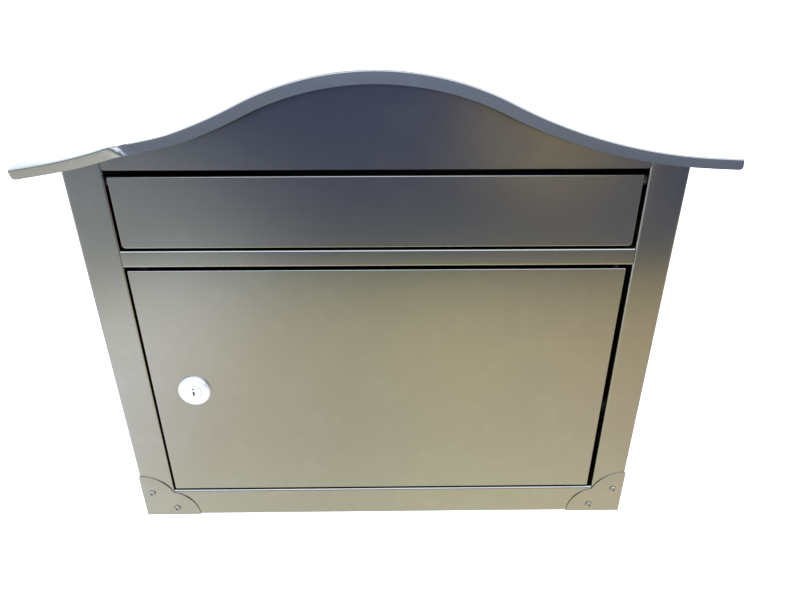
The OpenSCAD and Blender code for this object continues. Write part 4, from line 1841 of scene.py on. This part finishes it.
@dataclass
class Studio:
    """Camera, floor, sky and lamps.

    Reflections see the floor as a glowing sheet with light and shade painted into it: one ramp
    gives its painted glow by distance in front of the box, a second scales that by place across it
    as painted light, and the glow is dimmed level with and behind the box's front as painted shade.
    floor_end is where it fades out.
    """

    lens: float = 23.85
    sensor: float = 36.0
    camera_place: Point = (11.1 * MM, -440.4 * MM, 348.5 * MM)
    yaw: float = math.radians(-0.53)
    pitch: float = math.radians(-23.92)
    roll: float = math.radians(0.15)
    floor_size: float = 8.0
    floor_colour: Point = (0.9, 0.9, 0.9)
    floor_lift: float = 0.5
    floor_roughness: float = 0.9
    floor_gloss: float = 0.1
    floor_drop: float = 0.5 * MM
    sky_turn: tuple[float, float] = (-0.25, 0.15)
    backdrop_strength: float = 1.2
    floor_end: tuple[float, float] = (0.55, 0.71)
    floor_reach: float = 0.8
    # painted shade: how far the floor's reflected glow is dimmed level with and behind the box's front
    floor_painted_shade_share: float = 0.7
    left_reach: float = 0.3
    half_span: float = 0.5
    foot: Point = (0.2, 0.1, 0.0)
    # painted light: the floor's reflected glow by distance in front of the box
    floor_painted_glow: tuple[tuple[float, Point], ...] = (
        (0.0, (1.2, 1.22, 1.1)), (0.1, (1.07, 1.06, 0.95)), (0.28, (1.0, 0.98, 0.82)),
        (0.43, (0.85, 0.83, 0.71)), (0.56, (0.62, 0.67, 0.55)), (0.65, (0.26, 0.3, 0.29)),
        (0.8, (0.18, 0.21, 0.29)))
    # painted light: the glow's colour and strength by place across the floor, cool on the left and warm
    # on the right
    floor_painted_light_across: tuple[tuple[float, Point], ...] = (
        (-0.5, (1.05, 1.1, 1.4)), (-0.42, (1.4, 1.5, 1.95)), (-0.32, (1.35, 1.45, 1.9)),
        (-0.17, (1.07, 1.08, 1.15)), (-0.05, (0.96, 0.96, 0.95)), (0.08, (1.04, 1.03, 0.92)),
        (0.2, (1.04, 0.98, 0.9)), (0.45, (0.9, 0.8, 0.7)))
    behind: SkySide = SkySide((
        (-1.0, (0.98, 0.97, 0.85)), (-0.1, (1.6, 1.6, 1.45)), (0.05, (3.1, 3.4, 4.1)),
        (0.22, (2.9, 3.15, 3.8)), (0.42, (1.4, 1.6, 2.0)), (1.0, (1.1, 1.3, 1.8))))
    ahead: SkySide = SkySide((
        (-1.0, (0.2, 0.22, 0.26)), (-0.25, (0.17, 0.2, 0.31)), (-0.12, (0.1, 0.13, 0.29)),
        (0.05, (0.07, 0.1, 0.29)), (0.13, (0.48, 0.58, 0.8)), (0.24, (0.25, 0.34, 0.66)),
        (0.38, (0.45, 0.56, 0.88)), (0.5, (1.9, 2.2, 3.0)), (0.8, (2.6, 2.9, 3.6)),
        (1.0, (1.1, 1.3, 1.8))))
    patches: tuple[SkyPatch, ...] = (
        SkyPatch((-0.8, -0.6, -0.6), math.radians(35), math.radians(10), (0.42, 0.47, 0.46)),
        SkyPatch((0.28, -0.96, -0.08), math.radians(5.5), math.radians(5.5), (0.48, 0.37, 0.05)),
    )
    lamps: tuple[SoftLamp, ...] = (
        SoftLamp("left_softbox", (-0.6, -0.5, 0.65), (-0.15, -0.15, 0.0), 0.4, 3.4, (0.9, 1.0, 1.16)),
        SoftLamp("right_softbox", (0.6, -0.5, 0.65), (0.15, -0.15, 0.0), 0.4, 2.6, (1.0, 0.82, 0.55)),
    )

    def camera(self) -> None:
        """Sets the camera a little above the box, looking down at its front."""
        data = bpy.data.cameras.new("front_camera")
        data.lens, data.sensor_width = self.lens, self.sensor
        data.clip_start, data.clip_end = 0.01, 50.0
        camera = bpy.data.objects.new("front_camera", data)
        look = (Matrix.Rotation(self.yaw, 3, "Z") @ Matrix.Rotation(self.pitch, 3, "X")
                @ Matrix.Rotation(self.roll, 3, "Y"))
        right, ahead, up = look.col[0], look.col[1], look.col[2]
        frame = Matrix((right, up, -ahead)).transposed().to_4x4()
        camera.matrix_world = Matrix.Translation(self.camera_place) @ frame
        bpy.context.scene.collection.objects.link(camera)
        bpy.context.scene.camera = camera

    def floor(self) -> None:
        """Lays a plain pale floor, which reflections see as a glowing table top with painted light and
        shade, that ends before the box.
        """
        Bench.clear()
        bpy.ops.mesh.primitive_plane_add(size=self.floor_size)
        floor = bpy.context.object
        floor.name = "pale_floor"
        floor.data.transform(Matrix.Translation((0, 0, -self.floor_drop)))
        material, tree, shader = new_material("pale_floor_paint")
        tree.feed(shader, {"Base Color": (*self.floor_colour, 1), "Roughness": self.floor_roughness,
                           "Specular IOR Level": self.floor_gloss, "Emission Color": (1, 1, 1, 1),
                           "Emission Strength": self.floor_lift})
        place = tree.node("ShaderNodeSeparateXYZ",
                          {"Vector": tree.node("ShaderNodeTexCoord").outputs["Object"]})
        ahead, leftward = (
            tree.math("MAXIMUM", tree.math("SUBTRACT", tree.math("MULTIPLY", place.outputs[axis], -1.0),
                                           edge), 0.0)
            for axis, edge in (("Y", self.foot[1]), ("X", self.foot[0])))
        ahead = tree.math("SUBTRACT", ahead, tree.math("MULTIPLY", leftward, self.left_reach))
        # painted light: the glow that reflections see, by distance in front of the box
        glow = tree.ramp(tree.spread(ahead, 0.0, self.floor_reach),
                         [(at / self.floor_reach, colour) for at, colour in self.floor_painted_glow])
        span = self.half_span
        # painted light: the glow scaled by place across the floor
        painted_light_across = tree.ramp(tree.spread(place.outputs["X"], -span, span),
                         [((at + span) / (2 * span), colour) for at, colour in self.floor_painted_light_across])
        colour = tree.vector("MULTIPLY", {0: glow, 1: painted_light_across})
        # painted shade: the glow is dimmed level with and behind the box's front
        painted_shade_near_box = tree.spread(place.outputs["Y"], -self.foot[1], 0.0, 1.0, self.floor_painted_shade_share)
        lit = tree.node("ShaderNodeEmission", {"Color": colour, "Strength": painted_shade_near_box})
        clear = tree.node("ShaderNodeBsdfTransparent")
        gone = tree.spread(ahead, *self.floor_end, smooth=True)
        reflected = tree.node("ShaderNodeMixShader", {0: gone, 1: lit.outputs[0], 2: clear.outputs[0]})
        seen = tree.node("ShaderNodeLightPath").outputs["Is Camera Ray"]
        mixed = tree.node("ShaderNodeMixShader", {0: seen, 1: reflected.outputs[0],
                                                  2: shader.outputs[0]})
        tree.feed(material.node_tree.nodes["Material Output"], {"Surface": mixed.outputs[0]})
        floor.data.materials.append(material)

    def sky(self) -> None:
        """Makes the sky: bright behind the box and overhead, dim and cool in front of it."""
        world = bpy.data.worlds.new("soft_studio")
        bpy.context.scene.world = world
        world.use_nodes = True
        tree = Tree(world.node_tree)
        background = world.node_tree.nodes["Background"]
        direction = tree.node("ShaderNodeTexCoord").outputs["Generated"]
        parts = tree.node("ShaderNodeSeparateXYZ", {"Vector": direction})
        height = parts.outputs["Z"]
        turn = tree.spread(parts.outputs["Y"], *self.sky_turn, smooth=True)
        ahead = self.ahead.lay(tree, height)
        for patch in self.patches:
            ahead = tree.vector("ADD", {0: ahead, 1: patch.lay(tree, direction)})
        tree.feed(background, {"Color": tree.mix(turn, ahead, self.behind.lay(tree, height))})
        backdrop = tree.node("ShaderNodeBackground", {"Color": (1, 1, 1, 1),
                                                      "Strength": self.backdrop_strength})
        seen = tree.node("ShaderNodeLightPath").outputs["Is Camera Ray"]
        mixed = tree.node("ShaderNodeMixShader", {0: seen, 1: background.outputs[0],
                                                  2: backdrop.outputs[0]})
        tree.feed(world.node_tree.nodes["World Output"], {"Surface": mixed.outputs[0]})

    def build(self) -> None:
        """Sets up all but the camera."""
        self.floor()
        self.sky()
        for lamp in self.lamps:
            lamp.hang()
        bpy.context.scene.view_settings.view_transform = "Standard"


def corners(box: tuple[Vector, Vector]) -> list[list[float]]:
    """A box as plain lists of numbers."""
    return [[float(value) for value in corner] for corner in box]


def main() -> None:
    """Loads the model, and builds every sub-assembly and the studio."""
    logging.basicConfig(level=logging.INFO, format="%(name)s: %(message)s")
    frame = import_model()
    studio = Studio()
    studio.camera()
    layout, book = Layout.read(), FinishBook()
    for kind in (Roof, CaseShell, FrontFrame, CornerTrim, MailFlap, CollectionDoor, CamLock):
        kind(layout, book).build()
    PlainParts(layout, book).dress(frame["nodes"])
    studio.build()


if __name__ == "__main__":
    main()
